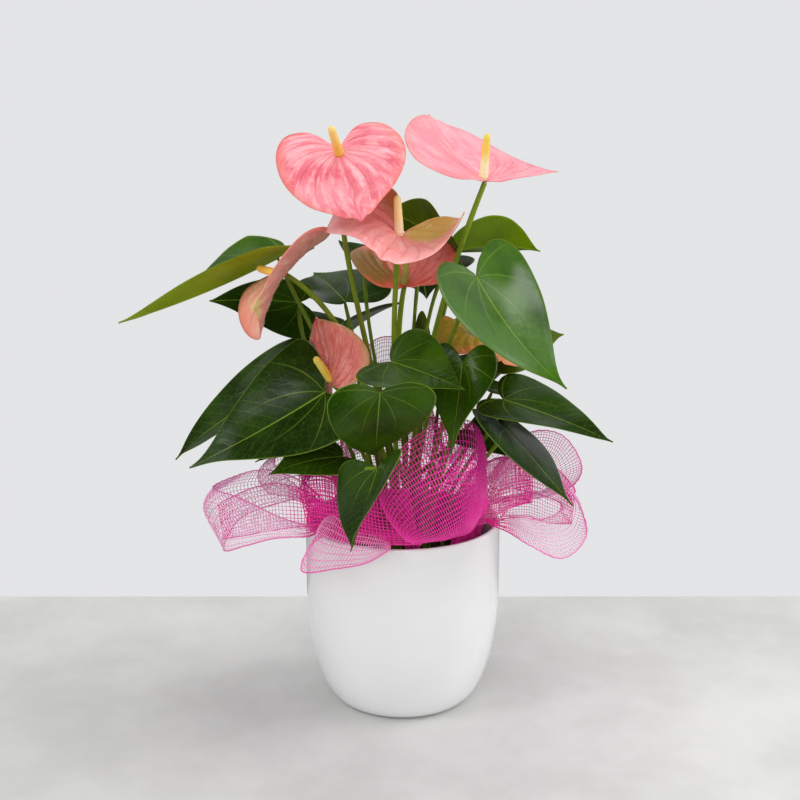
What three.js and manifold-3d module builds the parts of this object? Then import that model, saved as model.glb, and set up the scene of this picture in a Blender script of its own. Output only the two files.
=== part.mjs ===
// Potted anthurium: a flowering house plant in a white glazed cover pot,
// wrapped in loops of pink decorative mesh.
// Millimetres, +Z up, origin at the centre of the pot's flat foot.
// The photo was taken from the -Y side, with +X to its right.

import * as THREE from 'three';
import { mergeVertices } from 'three/addons/utils/BufferGeometryUtils.js';
import Module from 'manifold-3d';

const wasm = await Module();
wasm.setup();

// Driving dimensions
const POT_RADIUS = 70;          // widest radius of the cover pot
const POT_HEIGHT = 136;
const POT_FOOT = 43;            // radius of its flat foot
const POT_BELLY = 86;           // height where the curved lower part turns straight
const POT_WALL = 3.6;
const POT_FLOOR = 5;

const GROWER_RADIUS = 60;       // hidden plastic pot inside the cover pot
const GROWER_FOOT = 42;
const GROWER_TOP = 117;
const GROWER_WALL = 1.4;

const SOIL_TOP = 114;           // height of the soil at the grower's pot
const SOIL_MOUND = 3;           // how much higher it is in the middle

const CLEARANCE = 0.3;          // between touching pieces
const PETIOLE_RADIUS = 1.6;     // leaf stalks
const STEM_RADIUS = 1.9;        // flower stalks
const ROOT_DEPTH = 14;          // how deep the stalks stand in the soil
const LEAF_THICKNESS = 0.8;
const SPATHE_THICKNESS = 0.9;
const MESH_THICKNESS = 1;

// Blade outlines for a blade one long: [along the midrib, out from it], from the notch
// round the lobe to the tip. The stalk joins at [0, 0] and the tip is at [1, 0].
const LEAF_OUTLINE = [
  [-0.05, 0.014], [-0.17, 0.1], [-0.27, 0.26], [-0.2, 0.43], [0.02, 0.51],
  [0.3, 0.44], [0.58, 0.27], [0.8, 0.11], [0.92, 0.035], [1, 0.005],
];
const SPATHE_OUTLINE = [
  [-0.02, 0.014], [-0.15, 0.11], [-0.27, 0.3], [-0.22, 0.5], [0, 0.62],
  [0.3, 0.6], [0.6, 0.43], [0.84, 0.18], [0.94, 0.05], [1, 0.008],
];

// How each blade grows. at: where its stalk joins. along: the way the midrib leaves there.
// faces: the way its upper side looks. ring: where the stalk stands in the crown, 0 to 3
// from the middle out. Angles in degrees: fold lifts each half, curl adds to that towards
// the margin, droop bends the midrib down to the tip, twist turns the tip, back lifts the
// lobes, rise lifts their margins, bow shifts the bend of the stalk. Pairs are for the left
// and right half, seen along the midrib from above.
const BLADE = {
  width: 1, lobe: 1, fold: [14, 14], curl: [-8, -8], droop: 18, twist: 0, back: 0,
  rise: [0, 0], wave: 0.014, waves: 2, bow: [0, 0, 0],
};

const LEAVES = [
  // Upper right, large and glossy, hanging in front
  { ring: 1, at: [49, -44, 318], along: [0.47, -0.19, -0.86], faces: [0.63, -0.62, 0.48],
    length: 96, width: 1.06, lobe: 0.7, fold: [9, 11], curl: [-12, 0], droop: -28, twist: 3,
    bow: [-2, -4, -5] },
  // Upper right, behind, seen from below
  { ring: 1, at: [42, 62, 321], along: [0.76, 0.64, 0.08], faces: [-0.33, 0.28, 0.9], length: 78,
    fold: [16, 16], curl: [-7, 6], droop: 23, twist: -8, back: -10, bow: [-20, -27, -5] },
  // Top centre, behind the flowers, seen from below
  { ring: 1, at: [35, 18, 325], along: [-0.51, 0.7, 0.5], faces: [0.76, 0.09, 0.64], length: 75,
    lobe: 0.7, fold: [22, -4], curl: [-17, -5], droop: 29, twist: 29, bow: [-10, -4, 2] },
  // Far left, long and folded along its midrib
  { ring: 1, at: [-88, 17, 322], along: [-0.83, -0.39, -0.4], faces: [-0.43, -0.01, 0.9],
    length: 121, width: 0.89, lobe: 0.5, fold: [18, 10], curl: [-9, 29], droop: -11,
    twist: 23, back: 170, wave: 0, rise: [-0.11, -0.05], bow: [1, -14, 4] },
  // Left, behind the sideways flower
  { ring: 2, at: [-75, 41, 286], along: [-0.98, 0.15, 0.08], faces: [0.17, 0.73, 0.66],
    length: 66, width: 1.05, lobe: 0.7, fold: [0, -6], curl: [-24, -11], droop: 14, twist: 11,
    bow: [-11, 0, 6] },
  // Middle, small and dark, behind the stems
  { ring: 1, at: [-43, 62, 283], along: [-0.36, 0.91, 0.21], faces: [-0.02, -0.24, 0.97],
    length: 74, lobe: 0.9, fold: [19, 16], curl: [5, -4], droop: 9, twist: -13,
    bow: [5, -3, -2] },
  // Left, behind the large left leaf
  { ring: 2, at: [-86, 29, 226], along: [-0.91, 0.08, -0.41], faces: [-0.41, -0.05, 0.91],
    length: 102, width: 1.1, fold: [4, 26], curl: [-2, -11], droop: 22, twist: -3,
    bow: [1, 2, -3] },
  // Large left leaf
  { ring: 2, at: [-53, -38, 238], along: [-0.84, -0.03, -0.54], faces: [-0.35, -0.73, 0.59],
    length: 106, width: 0.95, lobe: 0.3, fold: [22, 6], curl: [-4, -14], droop: -12, twist: 6,
    bow: [0, -6, 11] },
  // Front centre, heart facing the viewer
  { ring: 3, at: [-15, -88, 250], along: [-0.07, 0.41, -0.91], faces: [-0.03, -0.91, -0.41],
    length: 72, lobe: 0.6, fold: [4, 32], curl: [-5, -14], droop: 30, twist: -16,
    bow: [-13, 7, -1] },
  // Front, hanging over the rim
  { ring: 3, at: [-16, -118, 208], along: [-0.28, -0.67, -0.68], faces: [-0.61, -0.42, 0.67],
    length: 59, width: 1.13, lobe: 0.35, fold: [37, 17], curl: [-30, -20], droop: 2, twist: 14,
    back: -2, wave: 0.036, bow: [-42, -16, 27] },
  // Low left, dark
  { ring: 3, at: [-41, -54, 197], along: [-0.77, -0.61, 0.16], faces: [0.34, -0.19, 0.92],
    length: 57, width: 0.89, lobe: 0.37, fold: [21, 10], curl: [-14, -17], droop: 26,
    twist: -32, back: -2, wave: 0.005, bow: [-7, 1, 0] },
  // Low left, small, behind it
  { ring: 3, at: [-66, -29, 199], along: [-0.97, 0.08, -0.22], faces: [-0.23, -0.12, 0.96],
    length: 40, fold: [12, 9], droop: 17, bow: [2, 1, -7] },
  // Centre right
  { ring: 2, at: [-7, -55, 263], along: [0.77, -0.63, -0.1], faces: [-0.05, -0.22, 0.97],
    length: 60, width: 1.05, lobe: 0.73, fold: [14, -6], curl: [20, 5], droop: 8, twist: 4,
    back: 12, wave: 0.005, bow: [-14, -12, 6] },
  // Centre right, dark, pointing down
  { ring: 3, at: [40, -45, 259], along: [-0.11, -0.44, -0.89], faces: [-0.43, -0.79, 0.44],
    length: 63, width: 0.77, lobe: 0.84, fold: [17, 6], curl: [-70, 25], droop: -5, twist: 39,
    back: -16, wave: 0.011, bow: [4, -4, 0] },
  // Small olive one behind the centre
  { ring: 2, at: [20, 56, 251], along: [-0.19, 0.98, -0.03], faces: [0.71, 0.16, 0.68],
    length: 50, fold: [35, 18], droop: 15, bow: [-8, -11, 1] },
  // Right
  { ring: 3, at: [70, -27, 230], along: [0.91, -0.35, -0.21], faces: [0.15, -0.19, 0.97],
    length: 80, lobe: 0.55, fold: [7, 9], curl: [0, -6], droop: 9, bow: [-2, -6, -4] },
  // Low right, grey-green
  { ring: 3, at: [71, -46, 214], along: [0.58, -0.59, -0.56], faces: [0.62, -0.12, 0.77],
    length: 71, fold: [4, -3], curl: [-7, 0], droop: 2, twist: 3 },
  // Right, behind the large glossy leaf
  { ring: 2, at: [59, 43, 248], along: [0.88, 0.44, 0.18], faces: [0.06, -0.49, 0.87], length: 72,
    fold: [14, 15], curl: [-8, 0], droop: 12, twist: 19, bow: [0, 4, -2] },
  // Low right, small and dark
  { ring: 3, at: [52, 12, 197], along: [0.56, -0.82, -0.13], faces: [-0.27, -0.33, 0.9],
    length: 42, droop: 16, bow: [0, 4, 2] },
  // Small one behind the top flower's stem
  { ring: 1, at: [-28, 41, 314], along: [-0.35, 0.85, 0.38], faces: [0.28, -0.29, 0.92],
    length: 45, fold: [31, 21], droop: 19, bow: [1, 1, -4] },
  // Unseen leaves that fill the back
  { ring: 2, at: [-44, 82, 264], along: [-0.25, 0.91, -0.32], faces: [-0.17, 0.28, 0.94],
    length: 96, droop: 24, twist: -6, bow: [2, -5, -3] },
  { ring: 2, at: [34, 89, 231], along: [0.32, 0.88, -0.34], faces: [0.14, 0.32, 0.94], length: 94,
    droop: 22, twist: 5, bow: [-8, -9, -7] },
  { ring: 2, at: [12, 86, 303], along: [0.09, 0.96, -0.27], faces: [-0.01, 0.27, 0.96],
    length: 84, droop: 20, bow: [-3, 0, 2] },
  { ring: 3, at: [66, 45, 218], along: [0.89, 0.34, -0.29], faces: [0.26, 0.14, 0.96], length: 80,
    droop: 20, twist: 6, bow: [3, 7, -7] },
];

// Flowers, with the way the spadix points and its length
const FLOWERS = [
  // Top left, large, facing the viewer
  { ring: 0, at: [-42, -35, 400], along: [0.21, -0.74, -0.64], faces: [0.05, -0.65, 0.76],
    length: 75, width: 0.9, lobe: 1.05, fold: [5, 1], curl: [7, -4], droop: -18, twist: 7,
    spadix: [-0.2, -0.67, 0.75], spadixLength: 26, bow: [-13, 16, -4] },
  // Top right, nearly edge-on
  { ring: 0, at: [55, -20, 379], along: [-0.44, 0.86, 0.27], faces: [0.22, -0.19, 0.96],
    length: 93, lobe: 0.55, fold: [22, 23], curl: [-20, -20], droop: -19, twist: 22,
    spadix: [0.07, -0.1, 1], spadixLength: 31, bow: [-16, -17, -3] },
  // Centre dish
  { ring: 0, at: [-2, -41, 346], along: [-0.17, -0.98, -0.05], faces: [0.33, -0.11, 0.94],
    length: 66, width: 1.25, lobe: 1.6, fold: [-22, 23], curl: [75, -49], droop: 6, twist: 4,
    back: 146, wave: 0, rise: [0.19, 0.43], spadix: [-0.05, -0.1, 1], spadixLength: 27 },
  // Left, sideways and twisted
  { ring: 1, at: [-80, -33, 319], along: [-0.05, -0.97, -0.24], faces: [-0.88, -0.07, 0.46],
    length: 72, lobe: 1.18, fold: [-23, 7], curl: [15, 15], droop: -20, twist: 42, back: 8,
    spadix: [-0.75, 0.6, 0.1], spadixLength: 24, bow: [19, 26, 15] },
  // Low left, cupped and young
  { ring: 1, at: [-48, -35, 243], along: [-0.29, 0.57, 0.77], faces: [-0.87, -0.49, 0.03],
    length: 53, width: 1.15, lobe: 0.82, fold: [9, 16], curl: [-50, -60], droop: 8, twist: 12,
    spadix: [-0.45, -0.3, 0.75], spadixLength: 22, bow: [9, 0, 0] },
  // Behind and below the centre dish
  { ring: 0, at: [1, -4, 305], along: [-0.11, 0.93, 0.36], faces: [-0.14, -0.37, 0.92],
    length: 63, width: 1.06, lobe: 0.8, fold: [26, 25], curl: [20, -12], droop: -10, twist: -10,
    spadix: [0.1, -0.2, 0.95], spadixLength: 20, bow: [-14, 7, 2] },
  // Right, under the large glossy leaf
  { ring: 1, at: [54, 25, 264], along: [0.18, -0.97, -0.15], faces: [0.36, -0.08, 0.93],
    length: 57, width: 0.95, lobe: 1.24, fold: [-13, 4], curl: [0, -27], droop: -4, twist: 17,
    back: 12, wave: 0.049, spadix: [0.1, -0.1, 0.95], spadixLength: 22, bow: [-6, 2, -2] },
];

// Loops of decorative mesh. rows: lines of points along the band, one below the other,
// from where it clears the rim to where it comes back. tucks: where its two ends stand on
// the soil, as [x, y].
const MESH_LOOPS = {
  mesh_loop_left: { tucks: [[-42, -18], [-44, -36]], rows: [
    [[-66, -38, 172], [-92, -25, 178], [-116, -20, 174], [-132, -34, 169],
      [-114, -52, 168], [-91, -66, 162], [-68, -62, 152]],
    [[-68, -32, 164], [-93, -14, 165], [-129, -6, 156], [-139, -34, 151],
      [-116, -62, 155], [-90, -76, 157], [-67, -66, 149]],
    [[-70, -27, 156], [-85, -14, 152], [-116, -12, 139], [-124, -46, 128],
      [-106, -72, 140], [-85, -82, 149], [-64, -70, 146]],
  ] },
  mesh_swag_front: { tucks: [[-38, -42], [-12, -50]], rows: [
    [[-52, -52, 152], [-46, -56, 158], [-35, -62, 150], [-19, -66, 146], [-9, -66, 144]],
    [[-58, -62, 147], [-54, -74, 146], [-38, -79, 142], [-22, -80, 141], [-9, -72, 142]],
    [[-60, -70, 142], [-68, -80, 125], [-47, -85, 128], [-24, -86, 133], [-9, -78, 141]],
  ] },
  mesh_puff_front: { tucks: [[6, -50], [37, -38]], rows: [
    [[2, -64, 146], [-16, -62, 169], [-12, -50, 187], [3, -44, 203], [25, -42, 218],
      [46, -40, 218], [55, -42, 204], [56, -42, 172]],
    [[3, -70, 144], [-9, -78, 161], [1, -84, 180], [14, -86, 190], [31, -82, 196],
      [46, -72, 192], [53, -60, 182], [57, -46, 164]],
    [[5, -74, 143], [7, -76, 146], [17, -78, 151], [29, -78, 158], [41, -72, 164],
      [49, -66, 168], [54, -58, 168], [57, -46, 156]],
    [[8, -70, 141], [12, -68, 141], [22, -65, 141], [32, -61, 141], [42, -56, 142],
      [48, -53, 146], [51, -49, 150], [52, -42, 148]],
  ] },
  mesh_loop_right: { tucks: [[50, -18], [45, -29]], rows: [
    [[66, -32, 178], [80, -24, 191], [100, -26, 182], [120, -34, 161], [126, -58, 143],
      [108, -76, 133], [85, -80, 143], [68, -60, 148]],
    [[68, -24, 170], [84, -14, 176], [106, -14, 168], [124, -20, 155], [119, -46, 142],
      [102, -62, 140], [83, -66, 148], [69, -52, 149]],
    [[70, -16, 160], [78, -10, 160], [98, -6, 155], [113, -10, 149], [107, -30, 148],
      [92, -46, 150], [80, -52, 153], [69, -44, 150]],
  ] },
  mesh_loop_right_back: { tucks: [[46, 20], [50, 4]], rows: [
    [[66, 14, 166], [79, 14, 185], [97, 18, 195], [116, 12, 193], [129, 2, 174],
      [122, 0, 160], [99, 2, 150], [78, 4, 148]],
    [[67, 22, 162], [80, 26, 174], [97, 32, 182], [114, 28, 180], [122, 18, 166],
      [114, 12, 154], [94, 12, 149], [77, 10, 147]],
    [[68, 29, 156], [81, 34, 162], [94, 40, 167], [108, 38, 165], [111, 30, 155],
      [104, 24, 149], [88, 20, 147], [76, 16, 146]],
  ] },
  mesh_puff_back: { tucks: [[-26, 42], [14, 48]], rows: [
    [[-46, 56, 164], [-41, 66, 209], [-26, 72, 246], [-9, 74, 254], [7, 72, 246],
      [19, 68, 208], [30, 58, 168]],
    [[-44, 64, 158], [-38, 78, 188], [-24, 86, 210], [-8, 88, 216], [7, 86, 208],
      [20, 78, 186], [32, 66, 160]],
    [[-42, 70, 150], [-34, 86, 160], [-20, 94, 164], [-6, 96, 166], [8, 94, 164],
      [22, 84, 156], [32, 72, 150]],
  ] },
  mesh_puff_left_back: { tucks: [[-50, 4], [-40, 30]], rows: [
    [[-70, 2, 154], [-92, 4, 174], [-84, 16, 182], [-70, 26, 186], [-58, 36, 180],
      [-54, 40, 164]],
    [[-74, 8, 150], [-104, 14, 162], [-98, 28, 170], [-80, 42, 172], [-64, 50, 166],
      [-56, 48, 156]],
    [[-76, 14, 146], [-100, 24, 146], [-94, 40, 150], [-76, 56, 150], [-62, 60, 148],
      [-56, 54, 148]],
  ] },
  mesh_loop_back: { tucks: [[29, 42], [41, 33]], rows: [
    [[44, 56, 158], [52, 66, 172], [70, 86, 176], [88, 96, 166], [84, 88, 148],
      [70, 66, 144]],
    [[42, 62, 156], [44, 76, 166], [58, 100, 168], [76, 110, 156], [76, 98, 140],
      [66, 72, 143]],
    [[38, 66, 152], [36, 80, 156], [46, 102, 154], [60, 112, 144], [64, 98, 132],
      [60, 76, 142]],
  ] },
};

const TUCK_SPACING = 3;         // between the rows of a band at its tucked ends
const TUCK_LEAN = 6;            // how far it leans out on the way up to the rim
const OVER_RIM = 5;             // how far a band clears the rim where it leaves the pot

const COLOURS = {
  pot: 0xf2f3f2, grower: 0x2a2624, soil: 0x3a2a20, mesh: 0xe0359a,
  leaf: 0x2c5a22, stem: 0x5f7d2c, spathe: 0xe98f8c, spadix: 0xf0c25c,
};

const TINY = 1e-4;
const radians = THREE.MathUtils.degToRad;

function material(colour, roughness) {
  return new THREE.MeshStandardMaterial({ color: colour, roughness, metalness: 0 });
}

function vector(list) {
  return new THREE.Vector3(...list);
}

// Solids and geometries

function toSolid(geometry) {
  const bare = geometry.clone();
  bare.deleteAttribute('normal');
  bare.deleteAttribute('uv');
  const welded = mergeVertices(bare, TINY);
  return new wasm.Manifold(new wasm.Mesh({
    numProp: 3,
    vertProperties: new Float32Array(welded.attributes.position.array),
    triVerts: new Uint32Array(welded.index.array),
  }));
}

function toGeometry(solid) {
  const mesh = solid.getMesh();
  const geometry = new THREE.BufferGeometry();
  geometry.setAttribute('position', new THREE.BufferAttribute(mesh.vertProperties, 3));
  geometry.setIndex(new THREE.BufferAttribute(mesh.triVerts, 1));
  geometry.computeVertexNormals();
  return geometry;
}

function largestPiece(solid) {
  const pieces = solid.decompose();
  return pieces.reduce((best, piece) => (piece.volume() > best.volume() ? piece : best));
}

// A point on a smooth line through a list of numbers lists, with u from 0 to 1
function through(points, u) {
  const last = points.length - 1;
  const place = u * last;
  const i = Math.min(Math.floor(place), last - 1);
  const w = place - i;
  const [p0, p1, p2, p3] = [i - 1, i, i + 1, i + 2].map(
    (k) => points[Math.max(0, Math.min(last, k))],
  );
  return p1.map((_, k) => {
    const start = (p2[k] - p0[k]) / 2;
    const end = (p3[k] - p1[k]) / 2;
    return (2 * p1[k] - 2 * p2[k] + start + end) * w ** 3
      + (-3 * p1[k] + 3 * p2[k] - 2 * start - end) * w ** 2 + start * w + p1[k];
  });
}

// A thin closed sheet on a grid of surface points. Both faces have the same triangles.
function thickSheet(surface, rows, columns, thickness) {
  const step = 1e-3;
  const positions = [];
  for (const face of [1, -1]) {
    for (const u of rows) {
      for (const v of columns) {
        const here = surface(u, v);
        const ahead = u < 0.5 ? step : -step;
        const aside = v < 0 ? step : -step;
        const du = surface(u + ahead, v).sub(here).multiplyScalar(1 / ahead);
        const dv = surface(u, v + aside).sub(here).multiplyScalar(1 / aside);
        const normal = du.cross(dv).normalize();
        here.addScaledVector(normal, (face * thickness) / 2);
        positions.push(here.x, here.y, here.z);
      }
    }
  }
  const width = columns.length;
  const lower = rows.length * width;
  const index = [];
  for (let i = 0; i < rows.length - 1; i += 1) {
    for (let j = 0; j < width - 1; j += 1) {
      const a = i * width + j;
      const b = a + width;
      index.push(a, b, b + 1, a, b + 1, a + 1);
      index.push(lower + a, lower + b + 1, lower + b, lower + a, lower + a + 1, lower + b + 1);
    }
  }
  for (const [a, b] of rimEdges(rows.length, width)) {
    index.push(a, lower + b, b, a, lower + a, lower + b);
  }
  const geometry = new THREE.BufferGeometry();
  geometry.setAttribute('position', new THREE.Float32BufferAttribute(positions, 3));
  geometry.setIndex(index);
  return geometry;
}

// The grid's edge, as pairs of neighbours in the order that closes the sheet
function rimEdges(height, width) {
  const loop = [];
  for (let i = 0; i < height - 1; i += 1) loop.push(i * width);
  for (let j = 0; j < width - 1; j += 1) loop.push((height - 1) * width + j);
  for (let i = height - 1; i > 0; i -= 1) loop.push(i * width + width - 1);
  for (let j = width - 1; j > 0; j -= 1) loop.push(j);
  return loop.map((a, k) => [a, loop[(k + 1) % loop.length]]);
}

function steps(count, from, to) {
  return Array.from({ length: count + 1 }, (_, i) => from + ((to - from) * i) / count);
}

function tube(path, radius, sides, count) {
  const section = new THREE.Shape();
  for (let i = 0; i < sides; i += 1) {
    const angle = (i / sides) * 2 * Math.PI;
    const [x, y] = [radius * Math.cos(angle), radius * Math.sin(angle)];
    if (i === 0) section.moveTo(x, y);
    else section.lineTo(x, y);
  }
  section.closePath();
  return new THREE.ExtrudeGeometry(section, {
    steps: count, extrudePath: path, bevelEnabled: false, curveSegments: 1,
  });
}

// Blades: one formula for leaves and spathes

const MIDRIB_CROWDING = 1.8;    // packs the rows of a blade towards its stalk
const BLADE_ROWS = 8;           // facets from the notch to the tip
const LEAF_COLUMNS = 2;         // facets across each half
const SPATHE_COLUMNS = 3;
const PHASE_STEP = 2.4;         // sets each blade's waves apart

// A line that starts at an angle and turns evenly: how far out and up it gets
function bend(start, turn, length) {
  const rate = Math.abs(turn) < TINY ? TINY : turn;
  return [
    (Math.sin(start + rate * length) - Math.sin(start)) / rate,
    (Math.cos(start) - Math.cos(start + rate * length)) / rate,
  ];
}

// A point of the upper side, with t from the notch to the tip round the margin, and
// across from -1 at the right margin to 1 at the left one
function bladePoint(blade, t, across) {
  const [edgeX, edgeY] = through(blade.outline, t);
  const midrib = t ** MIDRIB_CROWDING;
  const share = Math.abs(across);
  const side = across < 0 ? 1 : 0;
  const lobed = edgeX < 0 ? edgeX * blade.lobe : edgeX;
  const x = midrib + (lobed - midrib) * share;
  const fold = radians(blade.fold[side]);
  const [out, lift] = bend(fold, 2 * radians(blade.curl[side]), edgeY * blade.width * share);
  const ends = Math.min(1, 4 * t) * Math.min(1, 4 * (1 - t));
  const phase = blade.phase + (side ? 2 : 0);
  const wave = blade.wave * share ** 2 * ends * Math.sin(2 * Math.PI * blade.waves * t + phase);
  const rise = blade.rise[side] * share ** 2 * Math.sin(Math.PI * Math.min(1, 2 * t));
  const y = side ? -out : out;
  const z = lift + wave + rise;
  const turn = radians(blade.twist) * x;
  const turnedY = y * Math.cos(turn) - z * Math.sin(turn);
  const turnedZ = y * Math.sin(turn) + z * Math.cos(turn);
  const bending = x < 0 ? -radians(blade.back) : radians(blade.droop);
  const [onward, down] = bend(0, bending, x);
  const slope = bending * x;
  return blade.base.clone()
    .addScaledVector(blade.forward, blade.length * (onward + turnedZ * Math.sin(slope)))
    .addScaledVector(blade.left, blade.length * turnedY)
    .addScaledVector(blade.up, blade.length * (turnedZ * Math.cos(slope) - down));
}

// Fills in a blade's plain values and its own three directions
function makeBlade(values, outline, index) {
  const forward = vector(values.along).normalize();
  const up = vector(values.faces);
  up.addScaledVector(forward, -up.dot(forward)).normalize();
  return {
    ...BLADE,
    ...values,
    outline,
    phase: index * PHASE_STEP,
    base: vector(values.at),
    forward,
    up,
    left: up.clone().cross(forward),
  };
}

function bladeGeometry(blade, perSide, thickness) {
  const rows = steps(BLADE_ROWS, 0, 1);
  const columns = steps(2 * perSide, -1, 1);
  return thickSheet((t, v) => bladePoint(blade, t, v), rows, columns, thickness);
}

// Stalks: roots on rings in the crown, each ring in the order of its blades' directions

const RINGS = [6, 14, 22, 30];  // radii
const STALK_RISE = 0.35;        // share of the way that a stalk keeps upright
const STALK_ARRIVAL = 0.3;      // share of the way that it keeps to its last direction
const STALK_TILT = 0.5;         // how much that direction leans to the blade's upper side

function placeRoots(blades) {
  RINGS.forEach((radius, ring) => {
    const members = blades.filter((blade) => blade.ring === ring);
    const heading = (blade) => Math.atan2(blade.at[1], blade.at[0]);
    members.sort((a, b) => heading(a) - heading(b));
    const pitch = (2 * Math.PI) / members.length;
    let [east, north] = [0, 0];
    members.forEach((blade, i) => {
      east += Math.cos(heading(blade) - i * pitch);
      north += Math.sin(heading(blade) - i * pitch);
    });
    const start = Math.atan2(north, east);
    members.forEach((blade, i) => {
      const angle = start + i * pitch;
      blade.root = new THREE.Vector2(radius * Math.cos(angle), radius * Math.sin(angle));
    });
  });
}

// The stalk leaves the soil upright, and arrives from below its blade
function stalkPath(blade) {
  const { x, y } = blade.root;
  const ground = new THREE.Vector3(x, y, SOIL_TOP + SOIL_MOUND);
  const rise = blade.base.clone().sub(ground);
  const arrival = rise.clone().normalize().addScaledVector(blade.up, STALK_TILT)
    .normalize();
  const reach = rise.length();
  const bow = vector(blade.bow);
  const path = new THREE.CurvePath();
  path.add(new THREE.LineCurve3(new THREE.Vector3(x, y, SOIL_TOP - ROOT_DEPTH), ground));
  path.add(new THREE.CubicBezierCurve3(
    ground,
    ground.clone().add(new THREE.Vector3(0, 0, STALK_RISE * reach)),
    blade.base.clone().addScaledVector(arrival, -STALK_ARRIVAL * reach).add(bow),
    blade.base,
  ));
  return path;
}

function leafMesh(blade, name) {
  const stalk = toSolid(tube(stalkPath(blade), PETIOLE_RADIUS, 5, 7));
  const flat = toSolid(bladeGeometry(blade, LEAF_COLUMNS, LEAF_THICKNESS));
  return named(name, toGeometry(largestPiece(flat.add(stalk))), material(COLOURS.leaf, 0.35));
}

// A rod of little bumps, narrowing to a round tip

const SPADIX_RADIUS = 3.3;
const SPADIX_TAPER = 0.9;       // how much thinner it gets
const SPADIX_OFFSET = 3;        // from the stalk's joint, along the midrib
const SPADIX_BUMP = 0.07;       // share of its radius
const SPADIX_SHOULDER = 0.8;    // share of its length where the tip starts to round

function spadixGeometry(length) {
  const rings = 8;
  const sides = 8;
  const profile = [new THREE.Vector2(0, 0)];
  for (let i = 0; i <= rings; i += 1) {
    const u = i / rings;
    const tip = Math.max(0, (u - SPADIX_SHOULDER) / (1 - SPADIX_SHOULDER));
    const rounding = 0.25 + 0.75 * Math.sqrt(1 - Math.min(1, tip) ** 2);
    profile.push(new THREE.Vector2((SPADIX_RADIUS - SPADIX_TAPER * u) * rounding, length * u));
  }
  profile.push(new THREE.Vector2(0, length * 1.02));
  const geometry = new THREE.LatheGeometry(profile, sides);
  const position = geometry.attributes.position;
  for (let k = 0; k < position.count; k += 1) {
    const around = Math.floor(k / profile.length) % sides;
    const bump = 1 + SPADIX_BUMP * ((around + (k % profile.length)) % 2 ? 1 : -1);
    position.setX(k, position.getX(k) * bump);
    position.setZ(k, position.getZ(k) * bump);
  }
  return geometry;
}

function flowerMeshes(blade, name) {
  const spathe = bladeGeometry(blade, SPATHE_COLUMNS, SPATHE_THICKNESS);
  const padded = SPATHE_THICKNESS + 2 * CLEARANCE;
  const swollen = toSolid(bladeGeometry(blade, SPATHE_COLUMNS, padded));
  const backwards = blade.forward.clone().negate();
  const room = swollen.add(swollen.translate(backwards.toArray()));
  const stalk = toSolid(tube(stalkPath(blade), STEM_RADIUS, 6, 8));
  const beside = toSolid(tube(stalkPath(blade), STEM_RADIUS + 2 * CLEARANCE, 6, 8));
  const rod = spadixGeometry(blade.spadixLength);
  rod.applyQuaternion(new THREE.Quaternion().setFromUnitVectors(
    new THREE.Vector3(0, 1, 0), vector(blade.spadix).normalize(),
  ));
  rod.translate(...blade.base.clone().addScaledVector(blade.forward, SPADIX_OFFSET));
  const spadix = largestPiece(toSolid(rod).subtract(room).subtract(beside));
  const stem = largestPiece(stalk.subtract(room));
  return [
    named(`${name}_spathe`, spathe, material(COLOURS.spathe, 0.4)),
    named(`${name}_spadix`, toGeometry(spadix), material(COLOURS.spadix, 0.6)),
    named(`${name}_stem`, toGeometry(stem), material(COLOURS.stem, 0.5)),
  ];
}

// The two lowest points of each row at a tucked end, from the soil up
function tuckPoints([x, y], row, count, turn) {
  const outward = new THREE.Vector2(x, y).normalize();
  const aside = turn * TUCK_SPACING * (row - (count - 1) / 2);
  const place = (distance, height) => [
    outward.x * distance - outward.y * aside, outward.y * distance + outward.x * aside, height,
  ];
  const radius = Math.hypot(x, y);
  const seat = soilHeightAt(radius) + CLEARANCE;
  return [place(radius, seat), place(radius + TUCK_LEAN, POT_HEIGHT + OVER_RIM)];
}

function meshLoop({ rows: loose, tucks }, name) {
  const rows = loose.map((row, k) => [
    ...tuckPoints(tucks[0], k, loose.length, 1),
    ...row,
    ...tuckPoints(tucks[1], k, loose.length, -1).reverse(),
  ]);
  const surface = (u, v) => vector(through(rows.map((row) => through(row, u)), (v + 1) / 2));
  const band = thickSheet(surface, steps(18, 0, 1), steps(3, -1, 1), MESH_THICKNESS);
  return named(name, band, material(COLOURS.mesh, 0.5));
}

// Pot, grower's pot and soil

function potRadiusAt(height) {
  if (height >= POT_BELLY) return POT_RADIUS;
  const drop = 1 - height / POT_BELLY;
  return POT_FOOT + (POT_RADIUS - POT_FOOT) * Math.sqrt(1 - drop * drop);
}

function potMesh() {
  const lip = POT_WALL / 2;
  const profile = [new THREE.Vector2(0, 0)];
  steps(6, 0, POT_BELLY).forEach((z) => profile.push(new THREE.Vector2(potRadiusAt(z), z)));
  steps(3, 0, Math.PI).forEach((angle) => profile.push(new THREE.Vector2(
    POT_RADIUS - lip + lip * Math.cos(angle), POT_HEIGHT - lip + lip * Math.sin(angle),
  )));
  steps(4, POT_BELLY, POT_FLOOR + 6).forEach((z) => profile.push(new THREE.Vector2(
    potRadiusAt(z) - POT_WALL, z,
  )));
  profile.push(new THREE.Vector2(POT_FOOT, POT_FLOOR), new THREE.Vector2(0, POT_FLOOR));
  return named('pot', upright(profile, 32), material(COLOURS.pot, 0.15));
}

function growerRadiusAt(height) {
  const share = (height - POT_FLOOR) / (GROWER_TOP - POT_FLOOR);
  return GROWER_FOOT + (GROWER_RADIUS - GROWER_FOOT) * share;
}

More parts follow.
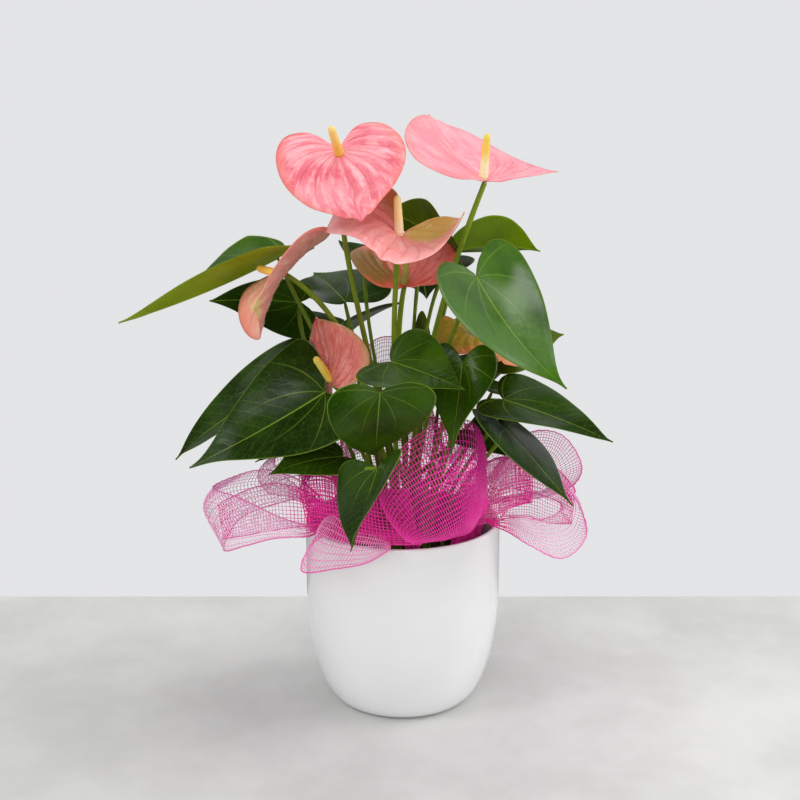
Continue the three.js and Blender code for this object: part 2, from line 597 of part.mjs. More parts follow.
function growerMesh() {
  const base = POT_FLOOR + CLEARANCE;
  const profile = [
    [0, base], [GROWER_FOOT, base], [GROWER_RADIUS, GROWER_TOP],
    [GROWER_RADIUS - GROWER_WALL, GROWER_TOP], [GROWER_FOOT - GROWER_WALL, base + GROWER_WALL],
    [0, base + GROWER_WALL],
  ].map(([r, z]) => new THREE.Vector2(r, z));
  return named('nursery_pot', upright(profile, 24), material(COLOURS.grower, 0.6));
}

function soilRadiusAt(height) {
  return growerRadiusAt(height) - GROWER_WALL - 2 * CLEARANCE;
}

// A low cone
function soilHeightAt(radius) {
  return SOIL_TOP + SOIL_MOUND * (1 - radius / soilRadiusAt(SOIL_TOP));
}

function soilMesh(blades) {
  const base = POT_FLOOR + 2 * CLEARANCE + GROWER_WALL;
  const profile = [
    [0, base], [soilRadiusAt(base), base], [soilRadiusAt(SOIL_TOP), SOIL_TOP],
    [0, SOIL_TOP + SOIL_MOUND],
  ].map(([r, z]) => new THREE.Vector2(r, z));
  let soil = toSolid(upright(profile, 24));
  const sides = 6;
  for (const blade of blades) {
    const radius = (blade.spadix ? STEM_RADIUS : PETIOLE_RADIUS) + CLEARANCE;
    const hole = new THREE.CylinderGeometry(
      radius / Math.cos(Math.PI / sides), radius / Math.cos(Math.PI / sides), 40, sides,
    );
    hole.rotateX(Math.PI / 2);
    hole.translate(blade.root.x, blade.root.y, SOIL_TOP - ROOT_DEPTH - CLEARANCE + 20);
    soil = soil.subtract(toSolid(hole));
  }
  return named('soil', toGeometry(soil), material(COLOURS.soil, 0.95));
}

// A turned shape from a profile of radii and heights
function upright(profile, segments) {
  return new THREE.LatheGeometry(profile, segments).rotateX(Math.PI / 2);
}

function named(name, geometry, look) {
  const mesh = new THREE.Mesh(geometry, look);
  mesh.name = name;
  return mesh;
}

function numbered(index) {
  return String(index + 1).padStart(2, '0');
}

const leaves = LEAVES.map((values, i) => makeBlade(values, LEAF_OUTLINE, i));
const flowers = FLOWERS.map((values, i) => makeBlade(values, SPATHE_OUTLINE, i));
placeRoots([...leaves, ...flowers]);

const plant = new THREE.Group();
plant.add(potMesh(), growerMesh(), soilMesh([...leaves, ...flowers]));
leaves.forEach((blade, i) => plant.add(leafMesh(blade, `leaf_${numbered(i)}`)));
flowers.forEach((blade, i) => plant.add(...flowerMeshes(blade, `flower_${numbered(i)}`)));
Object.entries(MESH_LOOPS).forEach(([name, rows]) => plant.add(meshLoop(rows, name)));

export default plant;
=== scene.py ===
"""A potted anthurium with pink spathes and heart-shaped leaves, in a white glazed cover pot
wrapped in loops of pink decorative mesh. Sizes are in millimetres until a mesh is made."""

import math
import random
from functools import partialmethod

import bpy
import numpy as np
from mathutils import Matrix, Vector, noise


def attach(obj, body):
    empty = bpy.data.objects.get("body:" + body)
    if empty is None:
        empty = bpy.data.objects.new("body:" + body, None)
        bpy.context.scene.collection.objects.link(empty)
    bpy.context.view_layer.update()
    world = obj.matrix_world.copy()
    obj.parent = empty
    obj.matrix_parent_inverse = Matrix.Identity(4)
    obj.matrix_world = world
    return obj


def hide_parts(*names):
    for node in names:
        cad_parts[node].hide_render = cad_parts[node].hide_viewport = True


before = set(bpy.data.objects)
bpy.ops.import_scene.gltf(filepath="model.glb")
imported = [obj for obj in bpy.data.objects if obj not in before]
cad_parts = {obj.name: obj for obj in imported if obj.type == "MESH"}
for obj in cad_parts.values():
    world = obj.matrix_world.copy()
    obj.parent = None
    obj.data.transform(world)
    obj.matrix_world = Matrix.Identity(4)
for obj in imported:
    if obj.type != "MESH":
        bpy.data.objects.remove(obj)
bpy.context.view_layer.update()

MM = 0.001
TINY = 1e-4
FULL_TURN = 2 * math.pi

# Sizes shared with the CAD part
POT_RADIUS = 70
POT_HEIGHT = 136
POT_FOOT = 43
POT_BELLY = 86
POT_WALL = 3.6
POT_FLOOR = 5
GROWER_RADIUS = 60
GROWER_FOOT = 42
GROWER_TOP = 117
GROWER_WALL = 1.4
SOIL_TOP = 114
SOIL_MOUND = 3
CLEARANCE = 0.3
ROOT_DEPTH = 14
RINGS = [6, 14, 22, 30]
STALK_RISE = 0.35
STALK_ARRIVAL = 0.3
STALK_TILT = 0.5
MIDRIB_CROWDING = 1.8
PHASE_STEP = 2.4
SPADIX_RADIUS = 3.3
SPADIX_TAPER = 0.9
SPADIX_OFFSET = 3
TUCK_SPACING = 3
TUCK_LEAN = 6
OVER_RIM = 5

LEAF_OUTLINE = [
    [-0.05, 0.014], [-0.17, 0.1], [-0.27, 0.26], [-0.2, 0.43], [0.02, 0.51],
    [0.3, 0.44], [0.58, 0.27], [0.8, 0.11], [0.92, 0.035], [1, 0.005],
]
SPATHE_OUTLINE = [
    [-0.02, 0.014], [-0.15, 0.11], [-0.27, 0.3], [-0.22, 0.5], [0, 0.62],
    [0.3, 0.6], [0.6, 0.43], [0.84, 0.18], [0.94, 0.05], [1, 0.008],
]


# How each blade grows, as in the CAD part. fold and curl lift its halves, rise and wave its
# margin. droop and twist bend the midrib, and back what lies behind the stalk's joint. bow
# pushes the stalk aside. Angles are in degrees, and pairs are for the left and right half,
# seen along the midrib from above.
BLADE = dict(width=1, lobe=1, fold=[14, 14], curl=[-8, -8], droop=18, twist=0, back=0,
             rise=[0, 0], wave=0.014, waves=2, bow=[0, 0, 0])


def grow(ring, at, along, faces, length, **others):
    """A blade's values: the ring of its root, where its base is, which way its midrib and its
    upper face point, its length, and what differs from BLADE."""
    return dict(BLADE, ring=ring, at=at, along=along, faces=faces, length=length, **others)


LEAVES = [
    # Upper right, large and glossy, hanging in front
    grow(1, [49, -44, 318], [0.47, -0.19, -0.86], [0.63, -0.62, 0.48], 96, width=1.06, lobe=0.7,
         fold=[9, 11], curl=[-12, 0], droop=-28, twist=3, bow=[-2, -4, -5]),
    # Upper right, behind, seen from below
    grow(1, [42, 62, 321], [0.76, 0.64, 0.08], [-0.33, 0.28, 0.9], 78, fold=[16, 16], curl=[-7, 6],
         droop=23, twist=-8, back=-10, bow=[-20, -27, -5]),
    # Top centre, behind the flowers, seen from below
    grow(1, [35, 18, 325], [-0.51, 0.7, 0.5], [0.76, 0.09, 0.64], 75, lobe=0.7, fold=[22, -4],
         curl=[-17, -5], droop=29, twist=29, bow=[-10, -4, 2]),
    # Far left, long and folded along its midrib
    grow(1, [-88, 17, 322], [-0.83, -0.39, -0.4], [-0.43, -0.01, 0.9], 121, width=0.89, lobe=0.5,
         fold=[18, 10], curl=[-9, 29], droop=-11, twist=23, back=170, wave=0, rise=[-0.11, -0.05],
         bow=[1, -14, 4]),
    # Left, behind the sideways flower
    grow(2, [-75, 41, 286], [-0.98, 0.15, 0.08], [0.17, 0.73, 0.66], 66, width=1.05, lobe=0.7,
         fold=[0, -6], curl=[-24, -11], droop=14, twist=11, bow=[-11, 0, 6]),
    # Middle, small and dark, behind the stems
    grow(1, [-43, 62, 283], [-0.36, 0.91, 0.21], [-0.02, -0.24, 0.97], 74, lobe=0.9, fold=[19, 16],
         curl=[5, -4], droop=9, twist=-13, bow=[5, -3, -2]),
    # Left, behind the large left leaf
    grow(2, [-86, 29, 226], [-0.91, 0.08, -0.41], [-0.41, -0.05, 0.91], 102, width=1.1, fold=[4, 26],
         curl=[-2, -11], droop=22, twist=-3, bow=[1, 2, -3]),
    # Large left leaf
    grow(2, [-53, -38, 238], [-0.84, -0.03, -0.54], [-0.35, -0.73, 0.59], 106, width=0.95, lobe=0.3,
         fold=[22, 6], curl=[-4, -14], droop=-12, twist=6, bow=[0, -6, 11]),
    # Front centre, heart facing the viewer
    grow(3, [-15, -88, 250], [-0.07, 0.41, -0.91], [-0.03, -0.91, -0.41], 72, lobe=0.6, fold=[4, 32],
         curl=[-5, -14], droop=30, twist=-16, bow=[-13, 7, -1]),
    # Front, hanging over the rim
    grow(3, [-16, -118, 208], [-0.28, -0.67, -0.68], [-0.61, -0.42, 0.67], 59, width=1.13, lobe=0.35,
         fold=[37, 17], curl=[-30, -20], droop=2, twist=14, back=-2, wave=0.036, bow=[-42, -16, 27]),
    # Low left, dark
    grow(3, [-41, -54, 197], [-0.77, -0.61, 0.16], [0.34, -0.19, 0.92], 57, width=0.89, lobe=0.37,
         fold=[21, 10], curl=[-14, -17], droop=26, twist=-32, back=-2, wave=0.005, bow=[-7, 1, 0]),
    # Low left, small, behind it
    grow(3, [-66, -29, 199], [-0.97, 0.08, -0.22], [-0.23, -0.12, 0.96], 40, fold=[12, 9], droop=17,
         bow=[2, 1, -7]),
    # Centre right
    grow(2, [-7, -55, 263], [0.77, -0.63, -0.1], [-0.05, -0.22, 0.97], 60, width=1.05, lobe=0.73,
         fold=[14, -6], curl=[20, 5], droop=8, twist=4, back=12, wave=0.005, bow=[-14, -12, 6]),
    # Centre right, dark, pointing down
    grow(3, [40, -45, 259], [-0.11, -0.44, -0.89], [-0.43, -0.79, 0.44], 63, width=0.77, lobe=0.84,
         fold=[17, 6], curl=[-70, 25], droop=-5, twist=39, back=-16, wave=0.011, bow=[4, -4, 0]),
    # Small olive one behind the centre
    grow(2, [20, 56, 251], [-0.19, 0.98, -0.03], [0.71, 0.16, 0.68], 50, fold=[35, 18], droop=15,
         bow=[-8, -11, 1]),
    # Right
    grow(3, [70, -27, 230], [0.91, -0.35, -0.21], [0.15, -0.19, 0.97], 80, lobe=0.55, fold=[7, 9],
         curl=[0, -6], droop=9, bow=[-2, -6, -4]),
    # Low right, grey-green
    grow(3, [71, -46, 214], [0.58, -0.59, -0.56], [0.62, -0.12, 0.77], 71, fold=[4, -3], curl=[-7, 0],
         droop=2, twist=3),
    # Right, behind the large glossy leaf
    grow(2, [59, 43, 248], [0.88, 0.44, 0.18], [0.06, -0.49, 0.87], 72, fold=[14, 15], curl=[-8, 0],
         droop=12, twist=19, bow=[0, 4, -2]),
    # Low right, small and dark
    grow(3, [52, 12, 197], [0.56, -0.82, -0.13], [-0.27, -0.33, 0.9], 42, droop=16, bow=[0, 4, 2]),
    # Small one behind the top flower's stem
    grow(1, [-28, 41, 314], [-0.35, 0.85, 0.38], [0.28, -0.29, 0.92], 45, fold=[31, 21], droop=19,
         bow=[1, 1, -4]),
    # Unseen leaves that fill the back
    grow(2, [-44, 82, 264], [-0.25, 0.91, -0.32], [-0.17, 0.28, 0.94], 96, droop=24, twist=-6,
         bow=[2, -5, -3]),
    grow(2, [34, 89, 231], [0.32, 0.88, -0.34], [0.14, 0.32, 0.94], 94, droop=22, twist=5,
         bow=[-8, -9, -7]),
    grow(2, [12, 86, 303], [0.09, 0.96, -0.27], [-0.01, 0.27, 0.96], 84, droop=20, bow=[-3, 0, 2]),
    grow(3, [66, 45, 218], [0.89, 0.34, -0.29], [0.26, 0.14, 0.96], 80, droop=20, twist=6,
         bow=[3, 7, -7]),
]

FLOWERS = [
    # Top left, large, facing the viewer
    grow(0, [-42, -35, 400], [0.21, -0.74, -0.64], [0.05, -0.65, 0.76], 75, width=0.9, lobe=1.05,
         fold=[5, 1], curl=[7, -4], droop=-18, twist=7, spadix=[-0.2, -0.67, 0.75], spadix_length=26,
         bow=[-13, 16, -4]),
    # Top right, nearly edge-on
    grow(0, [55, -20, 379], [-0.44, 0.86, 0.27], [0.22, -0.19, 0.96], 93, lobe=0.55, fold=[22, 23],
         curl=[-20, -20], droop=-19, twist=22, spadix=[0.07, -0.1, 1], spadix_length=31,
         bow=[-16, -17, -3]),
    # Centre dish
    grow(0, [-2, -41, 346], [-0.17, -0.98, -0.05], [0.33, -0.11, 0.94], 66, width=1.25, lobe=1.6,
         fold=[-22, 23], curl=[75, -49], droop=6, twist=4, back=146, wave=0, rise=[0.19, 0.43],
         spadix=[-0.05, -0.1, 1], spadix_length=27),
    # Left, sideways and twisted
    grow(1, [-80, -33, 319], [-0.05, -0.97, -0.24], [-0.88, -0.07, 0.46], 72, lobe=1.18, fold=[-23, 7],
         curl=[15, 15], droop=-20, twist=42, back=8, spadix=[-0.75, 0.6, 0.1], spadix_length=24,
         bow=[19, 26, 15]),
    # Low left, cupped and young
    grow(1, [-48, -35, 243], [-0.29, 0.57, 0.77], [-0.87, -0.49, 0.03], 53, width=1.15, lobe=0.82,
         fold=[9, 16], curl=[-50, -60], droop=8, twist=12, spadix=[-0.45, -0.3, 0.75], spadix_length=22,
         bow=[9, 0, 0]),
    # Behind and below the centre dish
    grow(0, [1, -4, 305], [-0.11, 0.93, 0.36], [-0.14, -0.37, 0.92], 63, width=1.06, lobe=0.8,
         fold=[26, 25], curl=[20, -12], droop=-10, twist=-10, spadix=[0.1, -0.2, 0.95],
         spadix_length=20, bow=[-14, 7, 2]),
    # Right, under the large glossy leaf
    grow(1, [54, 25, 264], [0.18, -0.97, -0.15], [0.36, -0.08, 0.93], 57, width=0.95, lobe=1.24,
         fold=[-13, 4], curl=[0, -27], droop=-4, twist=17, back=12, wave=0.049,
         spadix=[0.1, -0.1, 0.95], spadix_length=22, bow=[-6, 2, -2]),
]

# Where each band of mesh is tucked in at its two ends, and rows of points along it, one
# below the other, as in the CAD part
MESH_LOOPS = {
    "mesh_loop_left": [
        [[-42, -18], [-44, -36]],
        [[-66, -38, 172], [-92, -25, 178], [-116, -20, 174], [-132, -34, 169], [-114, -52, 168],
         [-91, -66, 162], [-68, -62, 152]],
        [[-68, -32, 164], [-93, -14, 165], [-129, -6, 156], [-139, -34, 151], [-116, -62, 155],
         [-90, -76, 157], [-67, -66, 149]],
        [[-70, -27, 156], [-85, -14, 152], [-116, -12, 139], [-124, -46, 128], [-106, -72, 140],
         [-85, -82, 149], [-64, -70, 146]],
    ],
    "mesh_swag_front": [
        [[-38, -42], [-12, -50]],
        [[-52, -52, 152], [-46, -56, 158], [-35, -62, 150], [-19, -66, 146], [-9, -66, 144]],
        [[-58, -62, 147], [-54, -74, 146], [-38, -79, 142], [-22, -80, 141], [-9, -72, 142]],
        [[-60, -70, 142], [-68, -80, 125], [-47, -85, 128], [-24, -86, 133], [-9, -78, 141]],
    ],
    "mesh_puff_front": [
        [[6, -50], [37, -38]],
        [[2, -64, 146], [-16, -62, 169], [-12, -50, 187], [3, -44, 203], [25, -42, 218], [46, -40, 218],
         [55, -42, 204], [56, -42, 172]],
        [[3, -70, 144], [-9, -78, 161], [1, -84, 180], [14, -86, 190], [31, -82, 196], [46, -72, 192],
         [53, -60, 182], [57, -46, 164]],
        [[5, -74, 143], [7, -76, 146], [17, -78, 151], [29, -78, 158], [41, -72, 164], [49, -66, 168],
         [54, -58, 168], [57, -46, 156]],
        [[8, -70, 141], [12, -68, 141], [22, -65, 141], [32, -61, 141], [42, -56, 142], [48, -53, 146],
         [51, -49, 150], [52, -42, 148]],
    ],
    "mesh_loop_right": [
        [[50, -18], [45, -29]],
        [[66, -32, 178], [80, -24, 191], [100, -26, 182], [120, -34, 161], [126, -58, 143],
         [108, -76, 133], [85, -80, 143], [68, -60, 148]],
        [[68, -24, 170], [84, -14, 176], [106, -14, 168], [124, -20, 155], [119, -46, 142],
         [102, -62, 140], [83, -66, 148], [69, -52, 149]],
        [[70, -16, 160], [78, -10, 160], [98, -6, 155], [113, -10, 149], [107, -30, 148],
         [92, -46, 150], [80, -52, 153], [69, -44, 150]],
    ],
    "mesh_loop_right_back": [
        [[46, 20], [50, 4]],
        [[66, 14, 166], [79, 14, 185], [97, 18, 195], [116, 12, 193], [129, 2, 174], [122, 0, 160],
         [99, 2, 150], [78, 4, 148]],
        [[67, 22, 162], [80, 26, 174], [97, 32, 182], [114, 28, 180], [122, 18, 166], [114, 12, 154],
         [94, 12, 149], [77, 10, 147]],
        [[68, 29, 156], [81, 34, 162], [94, 40, 167], [108, 38, 165], [111, 30, 155], [104, 24, 149],
         [88, 20, 147], [76, 16, 146]],
    ],
    "mesh_puff_back": [
        [[-26, 42], [14, 48]],
        [[-46, 56, 164], [-41, 66, 209], [-26, 72, 246], [-9, 74, 254], [7, 72, 246], [19, 68, 208],
         [30, 58, 168]],
        [[-44, 64, 158], [-38, 78, 188], [-24, 86, 210], [-8, 88, 216], [7, 86, 208], [20, 78, 186],
         [32, 66, 160]],
        [[-42, 70, 150], [-34, 86, 160], [-20, 94, 164], [-6, 96, 166], [8, 94, 164], [22, 84, 156],
         [32, 72, 150]],
    ],
    "mesh_puff_left_back": [
        [[-50, 4], [-40, 30]],
        [[-70, 2, 154], [-92, 4, 174], [-84, 16, 182], [-70, 26, 186], [-58, 36, 180], [-54, 40, 164]],
        [[-74, 8, 150], [-104, 14, 162], [-98, 28, 170], [-80, 42, 172], [-64, 50, 166],
         [-56, 48, 156]],
        [[-76, 14, 146], [-100, 24, 146], [-94, 40, 150], [-76, 56, 150], [-62, 60, 148],
         [-56, 54, 148]],
    ],
    "mesh_loop_back": [
        [[29, 42], [41, 33]],
        [[44, 56, 158], [52, 66, 172], [70, 86, 176], [88, 96, 166], [84, 88, 148], [70, 66, 144]],
        [[42, 62, 156], [44, 76, 166], [58, 100, 168], [76, 110, 156], [76, 98, 140], [66, 72, 143]],
        [[38, 66, 152], [36, 80, 156], [46, 102, 154], [60, 112, 144], [64, 98, 132], [60, 76, 142]],
    ],
}

# Lines, surfaces and meshes

def unit(vector):
    return vector / np.linalg.norm(vector, axis=-1, keepdims=True)


def through(points, u):
    """Points on a smooth line through rows of numbers, for each u from 0 to 1."""
    points = np.asarray(points, float)
    u = np.asarray(u, float)
    last = len(points) - 1
    place = u * last
    i = np.minimum(place.astype(int), last - 1)
    w = (place - i).reshape(u.shape + (1,) * (points.ndim - 1))
    p0, p1, p2, p3 = (points[np.clip(i + k, 0, last)] for k in (-1, 0, 1, 2))
    start = (p2 - p0) / 2
    end = (p3 - p1) / 2
    return ((2 * p1 - 2 * p2 + start + end) * w ** 3
            + (-3 * p1 + 3 * p2 - 2 * start - end) * w ** 2 + start * w + p1)


def bend(start, turn, length):
    """A line that starts at an angle and turns evenly: how far out and up it gets."""
    rate = np.where(np.abs(turn) < TINY, TINY, turn)
    return ((np.sin(start + rate * length) - np.sin(start)) / rate,
            (np.cos(start) - np.cos(start + rate * length)) / rate)


def smooth_step(low, high, x):
    share = np.clip((x - low) / (high - low), 0, 1)
    return share * share * (3 - 2 * share)


def grid_normals(points):
    """Unit normals of a grid of points, rows first."""
    return unit(np.cross(np.gradient(points, axis=0), np.gradient(points, axis=1)))


def grid_faces(rows, columns, start=0, flip=False, closed=False):
    """Quads of a grid of points. With closed, the last column meets the first."""
    spans = columns if closed else columns - 1
    i, j = np.meshgrid(np.arange(rows - 1), np.arange(spans), indexing="ij")
    a = i * columns + j
    b = i * columns + (j + 1) % columns
    quads = np.stack([a, a + columns, b + columns, b], axis=-1).reshape(-1, 4) + start
    return quads[:, ::-1] if flip else quads


def closed_rings(rings, sides):
    """Faces of a row of rings of points, with one across each end."""
    last = (rings - 1) * sides
    faces = grid_faces(rings, sides, closed=True, flip=True).tolist()
    return faces + [list(range(sides))[::-1], list(range(last, last + sides))]


def ring_angles(sides):
    return np.arange(sides) / sides * FULL_TURN


def make_piece(name, node, slot, points, faces, materials, choices=None, maps=None):
    """A smooth-shaded piece from points in millimetres, which rides on the plant's body and
    stands for a CAD node if one is named. choices is each face's material, and maps holds a
    pair of numbers per point by map name."""
    mesh = bpy.data.meshes.new(name)
    mesh.from_pydata((np.asarray(points, float) * MM).tolist(), [], [list(f) for f in faces])
    for material in materials:
        mesh.materials.append(material)
    if choices is not None:
        mesh.polygons.foreach_set("material_index", np.asarray(choices, np.int32))
    corners = np.empty(len(mesh.loops), np.int32)
    mesh.loops.foreach_get("vertex_index", corners)
    for map_name, values in (maps or {}).items():
        layer = mesh.uv_layers.new(name=map_name)
        layer.data.foreach_set("uv", np.asarray(values, np.float32)[corners].ravel())
    mesh.shade_smooth()
    piece = show(name, mesh)
    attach(piece, "root")
    if node:
        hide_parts(node)
    return piece


def show(name, data):
    made = bpy.data.objects.new(name, data)
    bpy.context.scene.collection.objects.link(made)
    return made


def tube(path, radii, sides):
    """Points and faces of a closed tube whose rings turn as little as can be."""
    tangents = unit(np.gradient(path, axis=0))
    side = np.cross(tangents[0], [0.3, 0.9, 0.1])
    first = []
    for tangent in tangents:
        side = side - tangent * np.dot(side, tangent)
        side = side / np.linalg.norm(side)
        first.append(side)
    first = np.array(first)
    second = np.cross(tangents, first)
    angles = ring_angles(sides)
    ring = (first[:, None, :] * np.cos(angles)[None, :, None]
            + second[:, None, :] * np.sin(angles)[None, :, None])
    points = path[:, None, :] + ring * np.asarray(radii)[:, None, None]
    return points.reshape(-1, 3), closed_rings(len(path), sides)


def lathe(profile, segments):
    """Points and faces of a closed turned shape, from radii and heights. It starts and ends
    on the axis."""
    profile = np.asarray(profile, float)
    angles = ring_angles(segments)
    rings = profile[1:-1]
    points = np.stack([rings[:, 0, None] * np.cos(angles), rings[:, 0, None] * np.sin(angles),
                       np.repeat(rings[:, 1, None], segments, axis=1)], axis=-1).reshape(-1, 3)
    points = np.vstack([points, [0, 0, profile[0, 1]], [0, 0, profile[-1, 1]]])
    faces = grid_faces(len(rings), segments, closed=True, flip=True).tolist()
    bottom = len(points) - 2
    last = (len(rings) - 1) * segments
    for k in range(segments):
        after = (k + 1) % segments
        faces += [[bottom, after, k], [bottom + 1, last + k, last + after]]
    return points, faces


# Materials

class Number:
    """A number that a tree of nodes works out, with the usual arithmetic."""

    def __init__(self, tree, socket):
        self.tree = tree
        self.socket = socket

    def math(self, operation, *others):
        return self.tree.math(operation, self, *others)

    __add__ = partialmethod(math, "ADD")
    __sub__ = partialmethod(math, "SUBTRACT")
    __mul__ = partialmethod(math, "MULTIPLY")
    __truediv__ = partialmethod(math, "DIVIDE")
    __abs__ = partialmethod(math, "ABSOLUTE")

    def __rtruediv__(self, other):
        return self.tree.math("DIVIDE", other, self)

    def most(self, *others):
        """The largest of this and others."""
        most = self
        for other in others:
            most = most.math("MAXIMUM", other)
        return most

    def step(self, start, end, low=0.0, high=1.0):
        """Goes smoothly from low where this is at start to high where it is at end."""
        inputs = dict(enumerate((self, start, end, low, high)))
        made = self.tree.node("ShaderNodeMapRange", inputs, interpolation_type="SMOOTHSTEP")
        return Number(self.tree, made.outputs["Result"])

    def lines(self, width):
        """1 on the whole numbers, fading to 0 at width on each side."""
        return self.math("PINGPONG", 0.5).step(width, 0.0)


class Tree:
    """A tree of nodes, with short calls for the ones used here."""

    def __init__(self, owner):
        owner.use_nodes = True
        self.owner = owner
        self.nodes = owner.node_tree.nodes
        self.nodes.clear()

    def node(self, kind, inputs=None, **settings):
        """A new node. inputs are by place or by name."""
        made = self.nodes.new(kind)
        for name, value in settings.items():
            setattr(made, name, value)
        for place, value in (inputs or {}).items():
            self.put(made.inputs[place], value)
        return made

    def put(self, socket, value):
        """Sets a socket to a number or colour, or links it to a Number or another socket."""
        if isinstance(value, Number):
            value = value.socket
        if isinstance(value, bpy.types.NodeSocket):
            self.owner.node_tree.links.new(value, socket)
        elif socket.type == "RGBA":
            socket.default_value = (*value, 1)
        else:
            socket.default_value = value

    def math(self, operation, *values):
        made = self.node("ShaderNodeMath", dict(enumerate(values)), operation=operation)
        return Number(self, made.outputs[0])

    def parts(self, vector):
        return [Number(self, part)
                for part in self.node("ShaderNodeSeparateXYZ", {0: vector}).outputs]

    def place(self, kind="Object"):
        return self.node("ShaderNodeTexCoord").outputs[kind]


class Look(Tree):
    """A material. settings are the shader's inputs, with _ for each space."""

    def __init__(self, name, **settings):
        super().__init__(bpy.data.materials.new(name))
        inputs = {socket.replace("_", " "): value for socket, value in settings.items()}
        self.shader = self.node("ShaderNodeBsdfPrincipled", inputs)
        self.node("ShaderNodeOutputMaterial", {"Surface": self.shader.outputs[0]})

    def mix(self, share, first, second):
        made = self.node("ShaderNodeMix", {0: share, 6: first, 7: second}, data_type="RGBA")
        return made.outputs[2]

    def noise(self, scale, vector=None, detail=3.0, roughness=0.5):
        made = self.node("ShaderNodeTexNoise", {
            "Scale": scale, "Detail": detail, "Roughness": roughness,
            "Vector": vector or self.place()})
        return Number(self, made.outputs["Fac"])

    def cells(self, scale, vector=None, feature="DISTANCE_TO_EDGE"):
        made = self.node("ShaderNodeTexVoronoi",
                         {"Scale": scale, "Vector": vector or self.place()}, feature=feature)
        return Number(self, made.outputs["Distance"])

    def map(self, name):
        """The two numbers of one of the piece's maps."""
        return self.parts(self.node("ShaderNodeUVMap", uv_map=name).outputs[0])[:2]

    def vector(self, x, y, z=0.0):
        return self.node("ShaderNodeCombineXYZ", {0: x, 1: y, 2: z}).outputs[0]

    def finish(self, colour, height=None, depth=0.0, strength=1.0):
        """Gives the material its colour and the bumps of height, depth metres deep."""
        self.put(self.shader.inputs["Base Color"], colour)
        if height is not None:
            made = self.node("ShaderNodeBump", {"Distance": depth, "Strength": strength,
                                                "Height": height})
            self.put(self.shader.inputs["Normal"], made.outputs[0])
        return self.owner


def hypotenuse(x, y):
    return (x * x + y * y).math("SQRT")


def shade(colour, amount):
    return tuple(part * amount for part in colour)


# Veins. Angles are in radians, lengths in lengths of the blade.
LEAF_FAN_STEP = 0.72       # angle between two veins at a leaf's joint
LEAF_FAN_BEND = 0.75       # how far they bend to the tip one blade away
RIB_SPACING = 0.115        # along a leaf's midrib
RIB_SLANT = 0.9
RIB_BEND = 0.5
FAN_STEP = 0.5             # angle between two veins at a spathe's joint
FAN_CLOSING = 0.75         # how much less it is one blade away
FAN_WOBBLE = 0.1
WOBBLE_PITCH = 9.0
WOBBLE_TURN = 4.0


def leaf_look(name, deep, fresh, gloss, under=False):
    """A leaf's face, which shines in broad patches. Veins leave the stalk's joint in a fan
    and bend towards the tip, and finer ones leave the midrib."""
    look = Look(name)
    patch = look.noise(22.0, detail=1.0)
    rough = patch.step(0.4, 0.62, 0.46, 0.22)
    level = patch.step(0.4, 0.62, gloss * 0.3, gloss * (0.8 if under else 2.2))
    look.put(look.shader.inputs["Specular IOR Level"], level)
    look.put(look.shader.inputs["Roughness"], rough + 0.12 if under else rough)
    x, signed = look.map("flat")
    y = abs(signed)
    reach = hypotenuse(x, y)
    fan = (reach * LEAF_FAN_BEND + y.math("ARCTAN2", x)) / LEAF_FAN_STEP
    fans = fan.lines(0.013 / (reach + 0.03)) * fan.step(0.5, 0.9) * reach.step(0.62, 0.2)
    slant = y * y * -RIB_BEND + (y * -RIB_SLANT + x)
    ribs = (slant / RIB_SPACING).lines(0.055) * slant.step(0.12, 0.22)
    midrib = y.step(x * -0.009 + 0.0135, 0.0) * x.step(-0.05, -0.02)
    net = look.cells(17.0, look.vector(x, signed)).step(0.055, 0.0)
    veins = midrib.most(fans * 0.5, ribs * 0.16, net * 0.1)
    margin = abs(look.map("grid")[1]).step(0.972, 0.992)
    specks = look.cells(420.0, feature="F1").step(0.16, 0.08) * look.noise(55.0).step(0.56, 0.66)
    tone = look.mix(look.noise(30.0, detail=4.0).step(0.36, 0.64), deep, fresh)
    tone = look.mix(reach.step(0.45, 0.0) * 0.35, tone, fresh)
    tone = look.mix(veins, tone, GREEN_VEIN)
    tone = look.mix(margin * 0.6, tone, GREEN_VEIN)
    tone = look.mix(specks * 0.35, tone, PALE_SPECK)
    height = look.noise(240.0, detail=2.0) * 0.35 + veins * (0.7 if under else -0.6)
    return look.finish(tone, height, 0.0004, 0.55)


